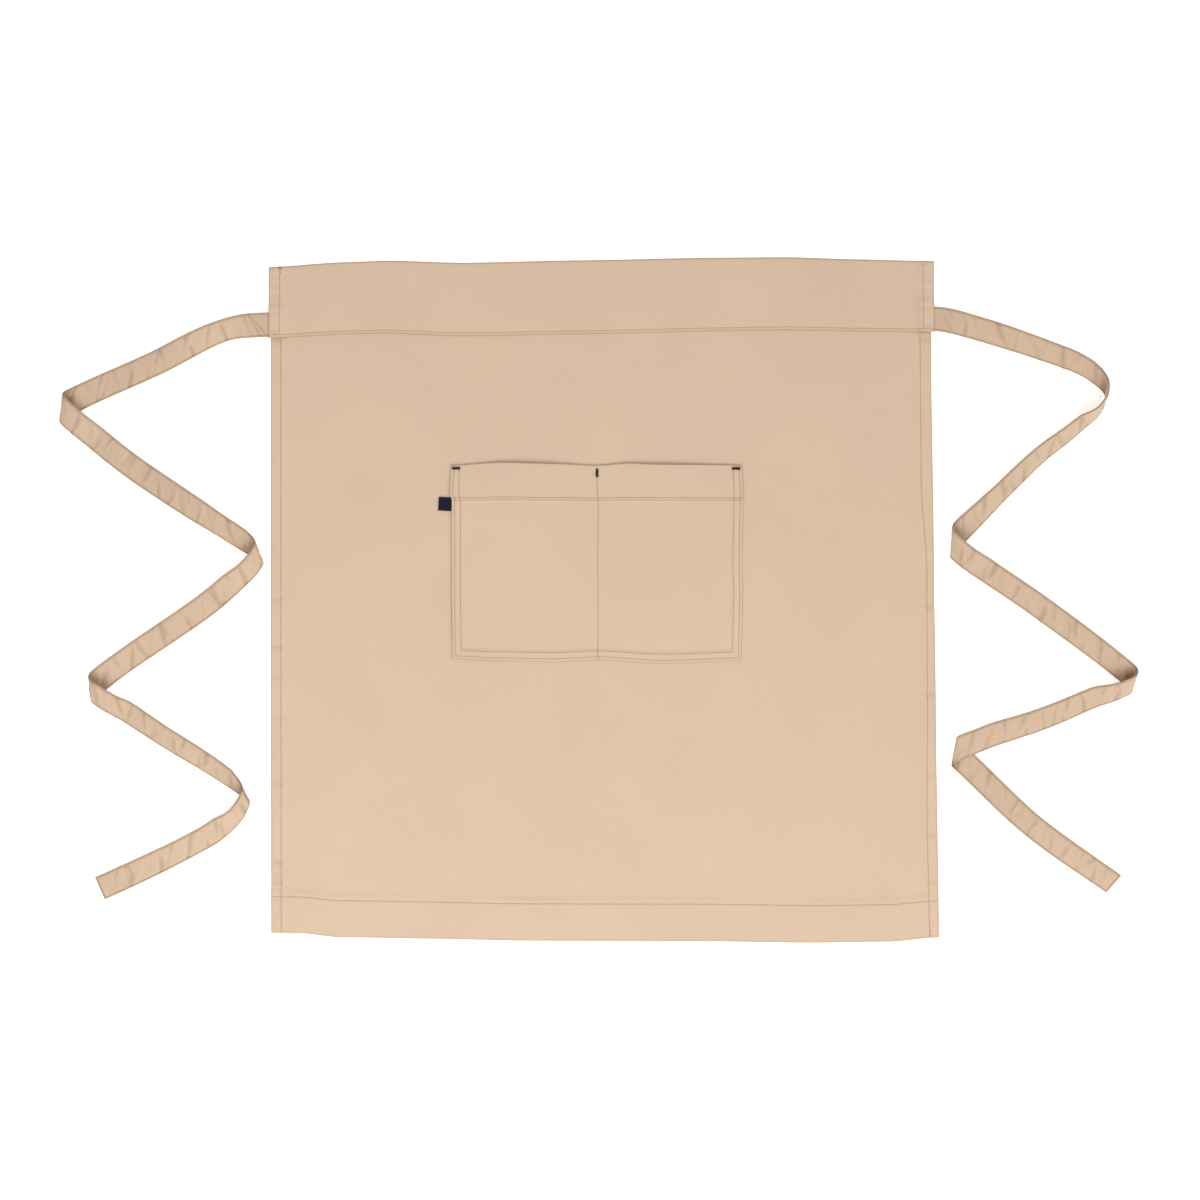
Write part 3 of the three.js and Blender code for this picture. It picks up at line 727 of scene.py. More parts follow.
def band_top(across, above_seam):
    """Height of the band's upper face, with stitch rows sunk in and soft low waves."""
    from_end = from_sides(across, BAND_WIDTH)
    height = band_under(across, above_seam) + CLOTH + 0.35 * hem_layer(from_end, SIDE_HEM, 2)
    height -= STITCH_SINK * line_marks(
        (1, above_seam - TOPSTITCH, 1.0),
        (1, from_end - END_STITCH, 1.0),
    )
    x = (across - 0.5) * BAND_WIDTH
    wave = 0.5 * soft_waves(x + 300, above_seam * 2) * smooth(above_seam / 12)
    ripple = np.sin(x / 2.9) * np.sin(x / 9.1) * np.sin(x / 37 + 1)
    drawn = 0.12 * line_mark(above_seam - TOPSTITCH, 5) * ripple
    cross = np.sin(above_seam / 2.1) * np.sin(above_seam / 7.7 + 1)
    ends = 0.65 * smooth(from_end / 3) * (1 - smooth((from_end - SIDE_STITCH) / 6)) * cross
    return height + wave * smooth(from_end / 30) + drawn + ends


def band_plan(across, above_seam):
    """X and Y of a place on the band: its ends follow the panel's sides and stand proud."""
    along = 1 - (band_depth(across) - above_seam) / APRON_LENGTH
    left = left_line(along) - WAISTBAND_STAND_LEFT
    right = right_line(along) + WAISTBAND_STAND_RIGHT
    return mix(left, right, across), seam_line(across) + above_seam


BAND_END_STOPS = HEM_STOPS + [25, 28, 32]
UP_STOPS = [0, 0.15, 0.4, 0.8, 1.4, 2, 2.5, 2.9, 3.3, 3.7, 4.1, 4.8, 6, 8]
FLOOR_CLEAR = 0.05
END_ROW_FROM, END_ROW_TO = 5, 79

# The front of the band, from the stitched edge up to where it starts to fold over
band_across = stops(BAND_WIDTH, BAND_END_STOPS, BAND_END_STOPS, PANEL_STEP)
up_share = stops(WAISTBAND_DEPTH, UP_STOPS, [BAND_FOLD, BAND_FOLD + 1.5], 2.6)[:-1]
across, share = np.meshgrid(band_across, up_share)
up = share * band_depth(across) * (WAISTBAND_DEPTH - BAND_FOLD) / (up_share[-1] * WAISTBAND_DEPTH)
up = np.minimum(up, band_depth(across) - BAND_FOLD)
x, y = band_plan(across, up)
end_at = from_sides(across, BAND_WIDTH)
edge_at = np.minimum(end_at, up)
faces = two_faces(x, y, band_top(across, up), band_under(across, up), edge_at, 0.6)

# The fold, as quarter circles, and one last row down in front of the panel's edge
across_turn, angle = np.meshgrid(band_across, np.linspace(0, np.pi / 2, 7)[1:])
x_turn, y_turn = band_plan(across_turn, band_depth(across_turn))
fold_top = band_top(across_turn, band_depth(across_turn) - BAND_FOLD)
band_grids = []
for face, radius in zip(faces, (BAND_FOLD, BAND_FOLD - CLOTH)):
    fold_y = y_turn - BAND_FOLD + radius * np.sin(angle)
    fold_z = fold_top - BAND_FOLD + radius * np.cos(angle)
    fold = np.dstack([x_turn, fold_y, fold_z])
    last_row = fold[-1:].copy()
    last_row[..., 2] = FLOOR_CLEAR
    band_grids.append(np.concatenate([face, fold, last_row]))

flat_y = np.concatenate([y, y_turn + angle / (np.pi / 2) * 2, y_turn[-1:] + 4])
band_columns = np.broadcast_to(band_grids[0][0, :, 0], flat_y.shape)
tail = len(flat_y) - len(up)
above = np.concatenate([up, np.repeat(up[-1:] + 5, tail, 0)])
from_top = np.concatenate([band_depth(across) - up, np.zeros((tail, up.shape[1]))])
# Darker tone: painted shade along the stitched lower edge, the ends and the fold, and the marks of
# the stitch rows
band_seam_and_shade = line_marks(
    (0.7, above, 0.9),
    (0.32, above - TOPSTITCH, ROW_MARK),
    (0.7, end_at[:1], 1.2),
    (0.26, end_at[:1] - END_STITCH, ROW_MARK),
    (0.7, from_top, 1.3),
)
band_flat = np.dstack([band_columns, flat_y])
band_cloth = closed_sheet(
    "waistband_cloth", "waistband", band_grids, band_flat, band_seam_and_shade, twill
)

end_share = END_STITCH / BAND_WIDTH
up_band = mix(END_ROW_FROM, END_ROW_TO, EVEN)
band_rows = [
    row_on(band_plan, band_top, EVEN, TOPSTITCH),
    row_on(band_plan, band_top, end_share, up_band),
    row_on(band_plan, band_top, 1 - end_share, up_band),
]
band_stitching = put_stitches("waistband_stitching", band_rows, tan_thread)

# %% [markdown]
# ## Pocket
#
# One wide patch pocket is sewn to the panel down both sides and along its foot, with a single
# row of stitches down the middle that makes two pockets of it. Its edges are turned in, so two
# layers lie under the double stitching, and the mouth has a deep hem. The cloth rises a little
# between the rows that hold it down, most of all at the open mouth.

# %% Shape of the pocket
POCKET_TOP = APRON_LENGTH / 2 - POCKET_FROM_TOP
POCKET_LEFT_SIDE = POCKET_SHIFT - POCKET_WIDTH / 2
OUTER_ROW = 3.4
INNER_ROW = 10.3
HEM_ROW = 38.0
SECOND_HEM_ROW = 40.9


def pocket_plan(across, along):
    """X and Y of a place on the pocket: the waves of mouth and foot fade away from them."""
    left = POCKET_LEFT_SIDE - POCKET_WAVE * edge_wave(POCKET_LEFT, along)
    right = POCKET_LEFT_SIDE + POCKET_WIDTH + POCKET_WAVE * edge_wave(POCKET_RIGHT, along)
    mouth = POCKET_WAVE * edge_wave(MOUTH_EDGE, across) * along**7
    foot = POCKET_WAVE * edge_wave(POCKET_FOOT, across) * (1 - along) ** 3
    y = POCKET_TOP - (1 - along) * POCKET_HEIGHT + mouth - foot
    return mix(left, right, across), y


def pocket_at(across, along):
    """Distances of a place from the nearest sewn edge, the mouth and the middle row."""
    sewn_at = np.minimum(from_sides(across, POCKET_WIDTH), along * POCKET_HEIGHT)
    return sewn_at, (1 - along) * POCKET_HEIGHT, (across - POCKET_DIVIDER) * POCKET_WIDTH


def pocket_under(across, along):
    """Height of the under face: down at the seams, raised between them, most at the mouth."""
    inset = POCKET_TURNING / POCKET_WIDTH
    is_left = across < POCKET_DIVIDER
    start = np.where(is_left, inset, POCKET_DIVIDER)
    end = np.where(is_left, POCKET_DIVIDER, 1 - inset)
    swell = np.sin(np.pi * np.clip((across - start) / (end - start), 0, 1)) ** 2
    from_foot = smooth((along * POCKET_HEIGHT - POCKET_TURNING) / POCKET_TURNING)
    gape = mix(POCKET_EASE * from_foot, MOUTH_GAPE, np.clip(along, 0, 1) ** 6)
    from_label = np.abs((1 - along) * POCKET_HEIGHT - LABEL_FROM_MOUTH) - LABEL_WIDTH / 2
    beside = smooth(1 - (from_label - 1) / LABEL_FLARE)
    over_label = beside * smooth(1 - (across * POCKET_WIDTH - LABEL_TUCK - 1) / POCKET_TURNING)
    return CLOTH + GAP + swell * gape + over_label * (LABEL_THICKNESS + GAP)


def pocket_top(across, along):
    """Height of the upper face: one cloth, one more on turned edges, less the stitch rows."""
    sewn_at, mouth_at, divider_at = pocket_at(across, along)
    layers = np.maximum(
        hem_layer(sewn_at, POCKET_TURNING, 2),
        hem_layer(mouth_at, POCKET_HEM, 2),
    )
    height = pocket_under(across, along) + CLOTH * (1 + 0.8 * layers)
    x, y = pocket_plan(across, along)
    height += 0.7 * soft_waves(x * 1.3, y * 1.3) * smooth((sewn_at - 12) / 20)
    height -= STITCH_SINK * line_marks(
        (1, sewn_at - OUTER_ROW, 1.0),
        (1, sewn_at - INNER_ROW, 1.0),
        (1, mouth_at - HEM_ROW, 1.0),
        (0.8, mouth_at - SECOND_HEM_ROW, 1.0),
        (1.4 * smooth((mouth_at - 8) / 6), divider_at, 1.4),
    )
    ripple = np.sin(y / 2.3) * np.sin(y / 6.1) + np.sin(x / 2.6) * np.sin(x / 7.3)
    return height + 0.07 * line_mark(sewn_at - (OUTER_ROW + INNER_ROW) / 2, 5) * ripple


SEWN_STOPS = [
    0, 0.15, 0.4, 0.8, 1.4, 2, 2.6, 3, 3.4, 3.8, 4.2, 5, 6.4, 8,
    9.2, 9.9, 10.3, 10.7, 11.2, 12, 13, 14.5,
]
MOUTH_STOPS = [
    0, 0.15, 0.4, 0.8, 1.4, 2.5, 4, 7, 11, 16, 21, 26, 31, 35, 36.8, 37.6, 38, 38.4, 39.2,
    40.1, 40.5, 40.9, 41.3, 42, 43, 44.5, 48,
]
DIVIDER_STOPS = [0, 0.6, 1.2, 2, 3.5, 6]
POCKET_STEP = 4.0
ROW_POINTS = 160

left_width = POCKET_WIDTH * POCKET_DIVIDER
left_half = stops(left_width, SEWN_STOPS, DIVIDER_STOPS, POCKET_STEP)
right_half = stops(POCKET_WIDTH - left_width, DIVIDER_STOPS, SEWN_STOPS, POCKET_STEP)
across, along = np.meshgrid(
    np.concatenate([left_half * POCKET_DIVIDER, mix(POCKET_DIVIDER, 1, right_half[1:])]),
    stops(POCKET_HEIGHT, SEWN_STOPS, MOUTH_STOPS, POCKET_STEP),
)
x, y = pocket_plan(across, along)
sewn_at, mouth_at, divider_at = pocket_at(across, along)
edge_at = np.minimum(sewn_at, mouth_at)
# Darker tone: painted shade along the sewn edges and the mouth, and the marks of the stitch rows
pocket_seam_and_shade = line_marks(
    (0.45, sewn_at, 0.7),
    (0.45, mouth_at, 0.9),
    (0.36, sewn_at - OUTER_ROW, ROW_MARK),
    (0.36, sewn_at - INNER_ROW, ROW_MARK),
    (0.42, mouth_at - HEM_ROW, ROW_MARK),
    (0.3, mouth_at - SECOND_HEM_ROW, ROW_MARK),
    (0.36 * smooth((mouth_at - 8) / 4), divider_at, 0.65),
)
pocket_cloth = closed_sheet(
    "pocket_cloth",
    "pocket",
    two_faces(x, y, pocket_top(across, along), pocket_under(across, along), edge_at, 0.9),
    np.dstack([x, y]),
    pocket_seam_and_shade,
    twill,
)


def pocket_row(across, along):
    """A row of stitches on the pocket from corner to corner, given as lists of shares."""
    at = np.linspace(0, len(across) - 1, ROW_POINTS * (len(across) - 1) + 1)
    corners = np.arange(len(across))
    across, along = np.interp(at, corners, across), np.interp(at, corners, along)
    return row_on(pocket_plan, pocket_top, across, along)


tack_at = 1 - TACK_FROM_MOUTH / POCKET_HEIGHT
under_tack = 1 - (TACK_FROM_MOUTH + TACK_LENGTH) / POCKET_HEIGHT
outer_across, outer_along = OUTER_ROW / POCKET_WIDTH, OUTER_ROW / POCKET_HEIGHT
hem_along, second_along = 1 - HEM_ROW / POCKET_HEIGHT, 1 - SECOND_HEM_ROW / POCKET_HEIGHT
pocket_rows = []
for inset in (OUTER_ROW, INNER_ROW):
    side, foot = inset / POCKET_WIDTH, inset / POCKET_HEIGHT
    round_foot = pocket_row([side, side, 1 - side, 1 - side], [tack_at, foot, foot, tack_at])
    pocket_rows.append(round_foot)
pocket_rows += [
    pocket_row([0.003, 0.997], [hem_along] * 2),
    pocket_row([outer_across, 1 - outer_across], [second_along] * 2),
    pocket_row([POCKET_DIVIDER] * 2, [under_tack, outer_along]),
]
pocket_stitching = put_stitches("pocket_stitching", pocket_rows, tan_thread)

# %% [markdown]
# ## Ties
#
# Each tie is a long strip folded double, turned in and edge stitched. It was laid down in
# zigzags: where it turns back it rolls over itself, and between the turns it lies on one edge
# or leans a little. One row of the table is one place along its middle. The strip is drawn as
# straight lines across it, one at each step of its length. A line turns towards the fold's own
# direction near a fold, leans by the table's angle, and is carried round the roll.

# %% Places along the ties
# Columns: out and down as shares of the tie's length, slope on arriving and on leaving, and
# lean of the upper edge in degrees. A fold adds its roll as a share of the width, and which
# way the tie turns there.
LEFT_TIE = [
    (0.039, 0.005, 17, 17, 32),
    (0.107, 0.0365, 25, 25, 6),
    (0.1955, 0.0775, 29, 42, 6, 0.13, "over"),
    (0.115, 0.143, 34, 34, 5),
    (0.0072, 0.2125, 32, 54, 35, 0.12, "over"),
    (0.064, 0.267, 36, 36, 10),
    (0.168, 0.3412, 40, 30, 20, 0.12, "over"),
    (0.086, 0.394, 31, 31, 28),
    (0.0195, 0.439, 41, 60, 46, 0.12, "over"),
    (0.058, 0.481, 29, 29, 24),
    (0.159, 0.53, 24, 24, 0),
]
RIGHT_TIE = [
    (0.039, 0.009, 16, 16, 24),
    (0.12, 0.0365, 20, 20, 40),
    (0.161, 0.0645, 58, 70, 60, 0.12, "over"),
    (0.112, 0.118, 35, 35, 48),
    (0.068, 0.1575, 44, 44, 42),
    (0.0145, 0.2095, 43, 42, 16, 0.12, "over"),
    (0.098, 0.27, 36, 36, 22),
    (0.189, 0.3395, 40, 20, 30, 0.14, "over"),
    (0.1, 0.3765, 20, 20, 22),
    (0.0172, 0.406, 27, 41, 4, 0.1, "under"),
    (0.098, 0.481, 38, 38, 14),
    (0.1685, 0.531, 35, 35, 24),
]
TIE_SWING = 1.3 * TIE_WIDTH
TIE_SETTLE = 0.9
TIE_STEP = 2.6
FOLD_FLARE = 0.5
ROLL_STEPS = 9
ROOT_LINES = 5

# %% Path of a tie
def heading(sideways, slope):
    """Unit direction in the plan, from its slope towards the hem in degrees."""
    angle = np.radians(slope)
    return np.array([sideways * np.cos(angle), -np.sin(angle)])


def tie_run(start, end, leave, arrive):
    """Plan of one run: the cubic that leaves and arrives with the given slopes."""
    chord = end - start
    length = np.linalg.norm(chord)
    first = heading(np.sign(chord[0]), leave)
    last = heading(np.sign(chord[0]), arrive)

    def point(share):
        share = np.asarray(share)[:, None]
        square, cube = share**2, share**3
        return (
            start * (2 * cube - 3 * square + 1)
            + first * length * (cube - 2 * square + share)
            + end * (3 * square - 2 * cube)
            + last * length * (cube - square)
        )

    return {"length": length, "first": first, "last": last, "point": point}


def tie_fold(before, after, roll, turn):
    """A fold: the line that mirrors one run into the next, and the radius of its roll."""
    axis = unit(before["last"] + after["first"])
    axis = axis * np.sign(axis[1])
    sine = abs(axis[0] * before["last"][1] - axis[1] * before["last"][0])
    return {"axis": axis, "sine": sine, "radius": roll * TIE_WIDTH, "over": turn == "over"}


def run_stops(run, start, end):
    """Shares along a run, with the fold it belongs to (-1, 0 or 1) and its quarter turn."""
    quarter = np.linspace(0, np.pi / 2, ROLL_STEPS + 1)
    clear = [1.3 * f["radius"] / f["sine"] / run["length"] if f else 0 for f in (start, end)]
    count = max(4, int(round(run["length"] / TIE_STEP)))
    share = np.linspace(clear[0], 1 - clear[1], count + 1)[0 if start else 1:]
    parts = [(share, np.zeros(len(share)), np.full(len(share), np.pi / 2))]
    if start:
        away = start["radius"] * (1 - np.cos(quarter[1:])) / start["sine"] / run["length"]
        parts.insert(0, (away, np.full(ROLL_STEPS, -1.0), quarter[1:]))
    if end:
        away = end["radius"] * (1 - np.cos(quarter[::-1])) / end["sine"] / run["length"]
        parts.append((1 - away, np.full(ROLL_STEPS + 1, 1.0), quarter[::-1]))
    return [np.concatenate(column) for column in zip(*parts)]


# %% Cross lines of one run
def run_lines(run, start, end, lean_from, lean_to, is_first):
    """Middle and half-width vector of each cross line of a run.

    The line's direction blends from straight across to the fold's axis, leans up by the
    table's angle, and is lifted off the layer below by the roll. At a fold the roll is a cone:
    wider at the upper edge, so the offset is added in proportion to the place on the line.
    """
    share, side_of, quarter = run_stops(run, start, end)
    plan = run["point"](share)
    direction = unit(run["point"](share + 1e-3) - run["point"](share - 1e-3))
    from_start = share * run["length"]
    from_end = (1 - share) * run["length"]
    near_start = (1 - smooth(from_start / TIE_SWING)) if start else 0 * share
    near_end = (1 - smooth(from_end / TIE_SWING)) if end else 0 * share
    axis = np.stack([-direction[:, 1], direction[:, 0]], -1)
    axis = axis * np.sign(axis[:, 1:2]) * (1 - near_start - near_end)[:, None]
    for fold, near in ((start, near_start), (end, near_end)):
        if fold:
            axis = axis + fold["axis"] * near[:, None]
    axis = unit(axis)
    lean = np.radians(mix(lean_from, lean_to, smooth(share)))
    line = np.column_stack([axis * np.cos(lean)[:, None], np.sin(lean)])
    away = np.column_stack([-axis * np.sin(lean)[:, None], np.cos(lean)])
    half = TIE_WIDTH / 2 / np.sqrt(1 - (np.cos(lean) * (axis * direction).sum(-1)) ** 2)

    roll = np.zeros(len(share))
    skew = np.zeros(len(share))
    for fold, sign, distance in ((start, -1, from_start), (end, 1, from_end)):
        if not fold:
            continue
        is_upper = fold["over"] == (sign < 0)
        here = side_of == sign
        rise = fold["radius"] * (1 + (1 if is_upper else -1) * np.sin(quarter))
        held = 1 - smooth(distance / TIE_WIDTH - TIE_SETTLE)
        roll = np.where(here, rise, roll + (2 * fold["radius"] * held if is_upper else 0))
        reach = fold["radius"] / fold["sine"]
        turned = np.where(here, 1 - np.cos(quarter), 1 - smooth((distance - reach) / TIE_SWING))
        skew = skew - sign * reach * np.where(distance < TIE_SWING + reach, turned, 0)
    lift = ROOT_HEIGHT * (1 - smooth(from_start / TIE_WIDTH)) if is_first else 0
    height = TIE_THICKNESS / 2 + half * np.sin(lean) + lift
    centre = np.column_stack([plan, height]) + away * roll[:, None]
    ahead = np.column_stack([direction, np.zeros(len(share))])
    reach_line = line * half[:, None] + FOLD_FLARE * (away * roll[:, None] + ahead * skew[:, None])
    return centre, reach_line


def tie_lines(table, side):
    """All cross lines of a tie from its root to its free end, and where its folds are.

    Each fold is the number of its line, with -1 or 1 for the covered side before or after it.
    """
    edge, stand = left_line, WAISTBAND_STAND_LEFT
    if side > 0:
        edge, stand = right_line, WAISTBAND_STAND_RIGHT
    end_share = np.array((1.0 + side) / 2)
    root_y = seam_line(end_share) + ROOT_ABOVE_SEAM
    root = np.array([float(edge(np.array(1.0)) + side * stand), float(root_y)])
    places = [root] + [root + TIE_LENGTH * np.array([side * row[0], -row[1]]) for row in table]
    leaves = [0] + [row[3] for row in table]
    leans = [0] + [row[4] for row in table]
    runs = [
        tie_run(places[i], places[i + 1], leaves[i], row[2]) for i, row in enumerate(table)
    ]
    folds = [None] + [
        tie_fold(runs[i], runs[i + 1], *row[5:]) if row[5:] else None
        for i, row in enumerate(table)
    ]
    tucked = np.zeros((ROOT_LINES, 3))
    tucked[:, 0] = root[0] - side * np.linspace(TIE_TUCK, 0, ROOT_LINES)
    tucked[:, 1:] = root[1], ROOT_HEIGHT + TIE_THICKNESS / 2
    middles = [tucked]
    reaches = [np.tile([0, TIE_WIDTH / 2, 0], (ROOT_LINES, 1))]
    fold_rows = []
    for i, run in enumerate(runs):
        middle, reach = run_lines(run, folds[i], folds[i + 1], leans[i], leans[i + 1], i == 0)
        middles.append(middle)
        reaches.append(reach)
        if folds[i + 1]:
            covered = -1 if folds[i + 1]["over"] else 1
            fold_rows.append((sum(len(m) for m in middles) - 1, covered))
    return np.concatenate(middles), np.concatenate(reaches), fold_rows


# %% [markdown]
# A laid tie is never smooth. It was folded and pulled, so short creases run across it or
# slant over it every one or two centimetres. Each crease is a soft ridge with a hollow beside
# it. Their places, slants and depths follow sines whose steps never repeat, so that no two
# creases look alike but every run of this lesson gives the same strip.

# %% Creases and the strip itself
CREASE_SPACING = 9.0
CREASE_DEPTH = 1.6
CREASE_WIDTH = 2.5
# Creases that fan out from the left tie's root: place, slant, side, depth and width
ROOT_CREASES = [(28, -0.4, 0.2, 2.0, 1.9), (23.5, -0.75, -0.9, 1.9, 1.7), (36, -0.2, 0.3, 1.1, 2.2)]
ROUND_CORNERS = 5.0
BELL_REACH = 10
LINE_STEP = 1.7
LOOP_SHADE = 17.0
TIE_STITCH = 2.0
TIE_WALLS = np.array([
    0, 0.15, 0.4, 0.8, 1.3, 1.7, 2.0, 2.3, 2.8, 3.6, 5, 6.5, 8, 9.5, 11, 12.5, 14,
])


def ridges(length_at, across, place, slant, bend, depth, width, echo, inner, outer):
    """Sum of slanting ridges over the strip, each a bell with a shallower bell beside it.

    The other values are one for each ridge or one for all. Echo is how far off the shallower
    bell stands, and inner and outer say how a ridge fades from one edge of the strip to the
    other.
    """
    wide = across[..., None]
    at = (length_at[..., None] + slant * wide * TIE_WIDTH / 2 + bend * wide**2 - place) / width
    ridge = line_mark(at, 1) - 0.6 * line_mark(at - echo, 1)
    return (depth * ridge * smooth(inner + outer * wide)).sum(-1)


def tie_creases(length_at, across, start):
    """Creases along a whole tie, with places and forms from sines of their number."""
    count = int(length_at.max() / CREASE_SPACING)
    i = np.arange(count) + start
    place = (np.arange(count) + 0.5 + 0.4 * np.sin(i * 2.4)) * CREASE_SPACING
    slant = 0.4 + 0.45 * np.sin(i * 1.7 + 0.5)
    bend = 3.0 * np.sin(i * 3.1)
    depth = CREASE_DEPTH * (0.25 + 0.75 * np.sin(i * 3.9) ** 2) * np.sign(np.sin(i * 2.9 + 1))
    width = CREASE_WIDTH * (0.7 + 0.9 * np.sin(i * 5.1) ** 2)
    outer = 0.9 * 0.75 * np.sin(i * 4.3)
    return ridges(length_at, across, place, slant, bend, depth, width, 1.5, 0.65, outer)


def root_creases(length_at, across):
    """The listed creases at the left tie's root, as hollows with a ridge beside them."""
    place, slant, side, depth, width = np.array(ROOT_CREASES).T
    return ridges(length_at, across, place, slant, 0, -depth, width, 1.6, 0.6, 0.8 * side)


def evened(middle, reach):
    """The cross lines at even steps, averaged with their neighbours so that folds get round.

    The average is a bell over the length. The ends are carried on straight before it, so that
    they keep their places.
    """
    at = length_along(middle)
    even = np.linspace(0, at[-1], int(at[-1] / LINE_STEP))
    lines = values_at(even, at, np.column_stack([middle, reach]))
    before = lines[0] + np.arange(-BELL_REACH, 0)[:, None] * (lines[1] - lines[0])
    after = lines[-1] + np.arange(1, BELL_REACH + 1)[:, None] * (lines[-1] - lines[-2])
    padded = np.concatenate([before, lines, after])
    offset = np.arange(-BELL_REACH, BELL_REACH + 1) * LINE_STEP
    bell = np.exp(-((offset / ROUND_CORNERS) ** 2) / 2)
    bell = bell / bell.sum()
    soft = np.stack([np.convolve(column, bell, "valid") for column in padded.T], -1)
    return soft[:, :3], soft[:, 3:]


def tie_grids(table, side, start):
    """Grids of both faces of a tie, its normals, flat places, darker tone of seams and painted
    shade, and lengths.
    """
    middle, reach, fold_rows = tie_lines(table, side)
    rough_at = length_along(middle)
    middle, reach = evened(middle, reach)
    length_at = length_along(middle)
    normal = unit(np.cross(reach, unit(np.gradient(middle, axis=0))))
    walls = TIE_WALLS / (TIE_WIDTH / 2)
    across = np.concatenate([-1 + walls, (1 - walls)[-2::-1]])
    at, over = np.meshgrid(length_at, across, indexing="ij")
    edge_at = (1 - np.abs(over)) * TIE_WIDTH / 2
    nearest = np.minimum(edge_at, length_at[-1] - at)
    calm = smooth((at - TIE_TUCK) / 10)
    creases = tie_creases(at, over, start) * calm
    if side < 0:
        creases = creases * smooth((at - 30) / 25) + root_creases(at, over) * calm
    creases = creases * smooth(0.3 + nearest / 5)
    lift = 0.8 * creases + 0.35 * np.sin(at / 17 + 1.5 * over + np.sin(at / 41) * 2) * calm
    thick = TIE_THICKNESS / 2 * rounding(nearest, 0.9)
    thick = thick - STITCH_SINK * line_mark(nearest - TIE_STITCH, 0.8)
    thick = thick + 0.12 * smooth((nearest - 3) / 5)
    # Darker tone: painted shade along the folded edges, and the mark of the stitch row
    seam_and_painted_shade = line_marks((0.72, nearest, 0.9), (0.3, nearest - TIE_STITCH, 0.7))
    # Painted shade in the hollows of the creases
    seam_and_painted_shade = seam_and_painted_shade + 0.3 * smooth(-1.3 * creases - 0.2)
    # Painted shade inside each loop: on the covered run, for a short way from the fold
    for row, covered in fold_rows:
        past = (at - rough_at[row] * length_at[-1] / rough_at[-1]) * covered
        inside = (1 - smooth((past - 3) / LOOP_SHADE)) * (past > -2)
        seam_and_painted_shade = seam_and_painted_shade + 0.75 * inside * smooth(0.9 - 0.5 * over)
    body = middle[:, None] + reach[:, None] * over[..., None] + normal[:, None] * lift[..., None]
    grids = [body + normal[:, None] * (face * thick)[..., None] for face in (1, -1)]
    lowest = np.minimum(grids[0], grids[1])[..., 2]
    for grid in grids:
        grid[..., 2] += FLOOR_CLEAR - np.minimum(lowest, FLOOR_CLEAR)
    flat = np.dstack([at + start * 100, over * TIE_WIDTH / 2])
    return grids, normal, flat, seam_and_painted_shade, length_at


def tie_rows(face, normal, length_at):
    """The edge stitching of one face: down one edge, across the free end and back."""
    column = int(np.searchsorted(TIE_WALLS, TIE_STITCH))
    last = int(np.searchsorted(length_at, length_at[-1] - TIE_STITCH))
    first = int(np.searchsorted(length_at, TIE_TUCK + 1))
    end = face[last, column:-column]
    row = np.concatenate([face[first:last, column], end, face[first:last, -1 - column][::-1]])
    facing = np.concatenate([
        normal[first:last],
        np.repeat(normal[last:last + 1], len(end), 0),
        normal[first:last][::-1],
    ])
    return row, facing


for name, table, side, start in (("tie_left", LEFT_TIE, -1, 3), ("tie_right", RIGHT_TIE, 1, 50)):
    grids, normal, flat, seam_and_painted_shade, length_at = tie_grids(table, side, start)
    piece = closed_sheet(name + "_cloth", name, grids, flat, seam_and_painted_shade, tie_twill)
    rows = [tie_rows(grids[0], normal, length_at), tie_rows(grids[1], -normal, length_at)]
    threads = put_stitches(name + "_stitching", rows, tan_thread)
    print(name, "length", round(length_at[-1]), "mm, highest", round(grids[0][..., 2].max(), 1))

# %% [markdown]
# ## Label
#
# A small folded tape of navy weave is caught in the pocket's left seam. Its fold is rounded
# and its two layers lie almost closed, so one flattened loop is enough for its shape.

# %% Label
navy_weave = banded_material(
    "navy_weave", "Y", 620.0, 0.4, (0.7, 0.00015), [(0.007, 0.010, 0.028)], 0.75, 0.15
)

LABEL_SIDE = [0, 0.1, 0.3, 0.6, 1, 1.5]
LABEL_STEP = 0.7
whole = LABEL_REACH + LABEL_TUCK
along, across = np.meshgrid(
    stops(whole, LABEL_SIDE, [0], LABEL_STEP),
    stops(LABEL_WIDTH, LABEL_SIDE, LABEL_SIDE, LABEL_STEP),
)
out = along * whole - LABEL_REACH
wide = (across - 0.5) * LABEL_WIDTH
turn = np.radians(LABEL_TURN)
seat_x, seat_y = pocket_plan(np.array(0.0), np.array(1 - LABEL_FROM_MOUTH / POCKET_HEIGHT))
label_x = seat_x + out * np.cos(turn) - wide * np.sin(turn)
label_y = seat_y + out * np.sin(turn) + wide * np.cos(turn)
label_foot = CLOTH + GAP + 0.12 * np.sin(wide / 5) * smooth(1 - along)
edge_at = np.minimum(from_sides(across, LABEL_WIDTH), along * whole)
label_cloth = closed_sheet(
    "label_cloth",
    "woven_label",
    two_faces(label_x, label_y, label_foot + LABEL_THICKNESS, label_foot, edge_at, 0.5),
    np.dstack([out, wide]),
    0.0,
    navy_weave,
)

# %% [markdown]
# ## Bar tacks
#
# A bar tack is a short line of thread wrapped closely over itself, which holds a corner that
# is pulled. It is made as a rounded bar whose radius rises and falls once for each wrap, and
# which swells a little at both ends, where the machine starts and stops.

# %% Bar tacks
WRAPS = 26
RING = 14
navy_thread = thread_material("navy_thread", (0.009, 0.012, 0.034))


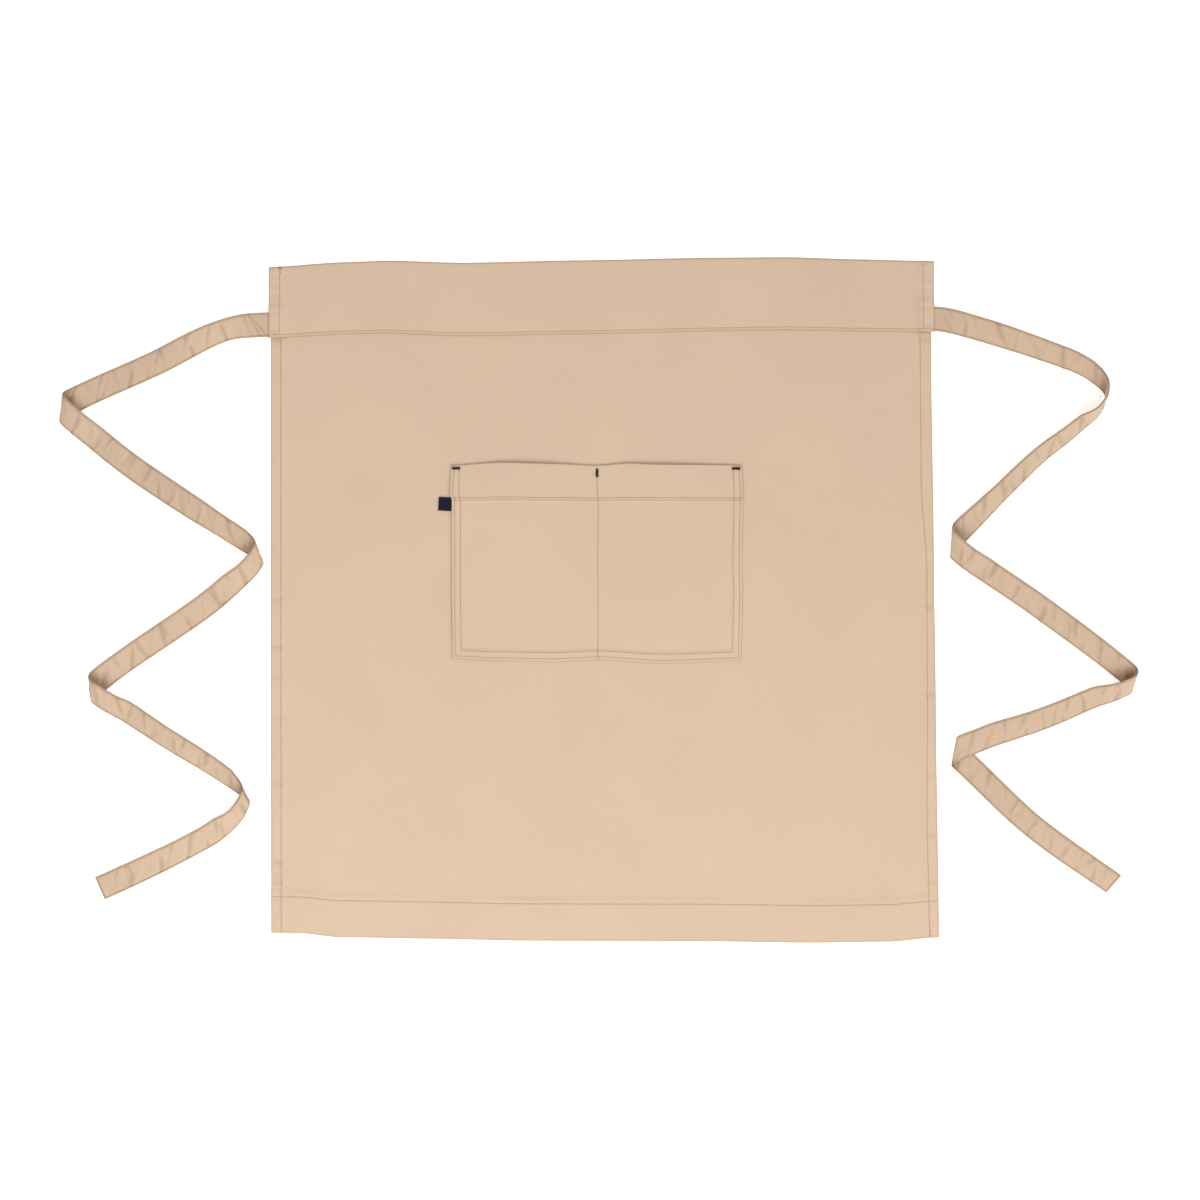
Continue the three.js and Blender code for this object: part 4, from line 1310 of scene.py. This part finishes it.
def bar_tack(name, is_upright):
    """A wrapped bar in the box of its plain solid: rings along it, each an ellipse."""
    low, high = (np.array(corner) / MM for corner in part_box(name))
    at = np.linspace(-1, 1, WRAPS * 6 + 1)
    ring = np.arange(RING) * 2 * np.pi / RING
    body = np.sqrt(np.clip(1 - at**10, 0, 1))
    swell = 1 + 0.22 * line_mark(np.abs(at) - 0.86, 0.07)
    width = body * swell * (0.92 + 0.1 * np.cos(at * WRAPS * np.pi)) + 0.02
    wander = 0.16 * np.sin(at * 5.3 + len(name))
    along = np.broadcast_to(at[:, None] * TACK_LENGTH / 2, (len(at), RING))
    sideways = TACK_WIDTH / 2 * (width[:, None] * np.cos(ring) * 1.15 + wander[:, None])
    height = TACK_HEIGHT / 2 * width[:, None] * np.sin(ring)
    axes = [-sideways, along, height] if is_upright else [along, sideways, height]
    points = np.dstack(axes).reshape(-1, 3) + (low + high) / 2
    number = np.arange(len(points)).reshape(len(at), RING)
    ahead = np.roll(number, -1, axis=1)
    walls = np.stack([number[:-1], number[1:], ahead[1:], ahead[:-1]], -1).reshape(-1, 4)
    faces = walls[:, ::-1].tolist() + [number[0, ::-1].tolist(), number[-1].tolist()]
    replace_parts(put_mesh(name + "_thread", points, faces, navy_thread), name)


bar_tack("bar_tack_left", False)
bar_tack("bar_tack_centre", True)
bar_tack("bar_tack_right", False)

# %% [markdown]
# ## Knots of the hem stitching
#
# Where a row of hem stitching starts or ends, the machine sews a few stitches back over it.
# The thread piles up there in a darker knot, seen at the upper left and the lower right corner,
# and smaller at the right side just below the waistband.

# %% Knots
# Each knot: middle of the knot and its height, then rows from one place to another round it
KNOT_HEIGHT = 3.75
KNOTS = [
    (-369.9, 378.2, KNOT_HEIGHT, [
        ((-2.0, 4.4), (0.3, -4.4)), ((2.0, 4.4), (-0.3, -4.4)),
        ((-2.1, 3.9), (2.1, 4.2)), ((-1.3, 1.8), (1.3, 2.1)),
    ]),
    (375.4, -382.6, 1.8, [
        ((-0.3, 3.4), (0.1, -4.2)), ((0.4, 3.4), (-0.1, -4.2)),
        ((-1.4, 3.2), (2.6, 3.3)), ((-1.2, 2.5), (1.4, 2.4)),
    ]),
    (373.8, 308.6, KNOT_HEIGHT, [((-1.3, 0.3), (1.3, -0.2)), ((0, 1.4), (0.2, -1.2))]),
]
knot_rows = []
for x, y, z, threads in KNOTS:
    for first, last in threads:
        ends = np.array([[x + first[0], y + first[1], z], [x + last[0], y + last[1], z]])
        knot_rows.append((mix(ends[0], ends[1], np.linspace(0, 1, 8)[:, None]), UPWARDS))
put_stitches("knots", knot_rows, knot_thread, 0.42)
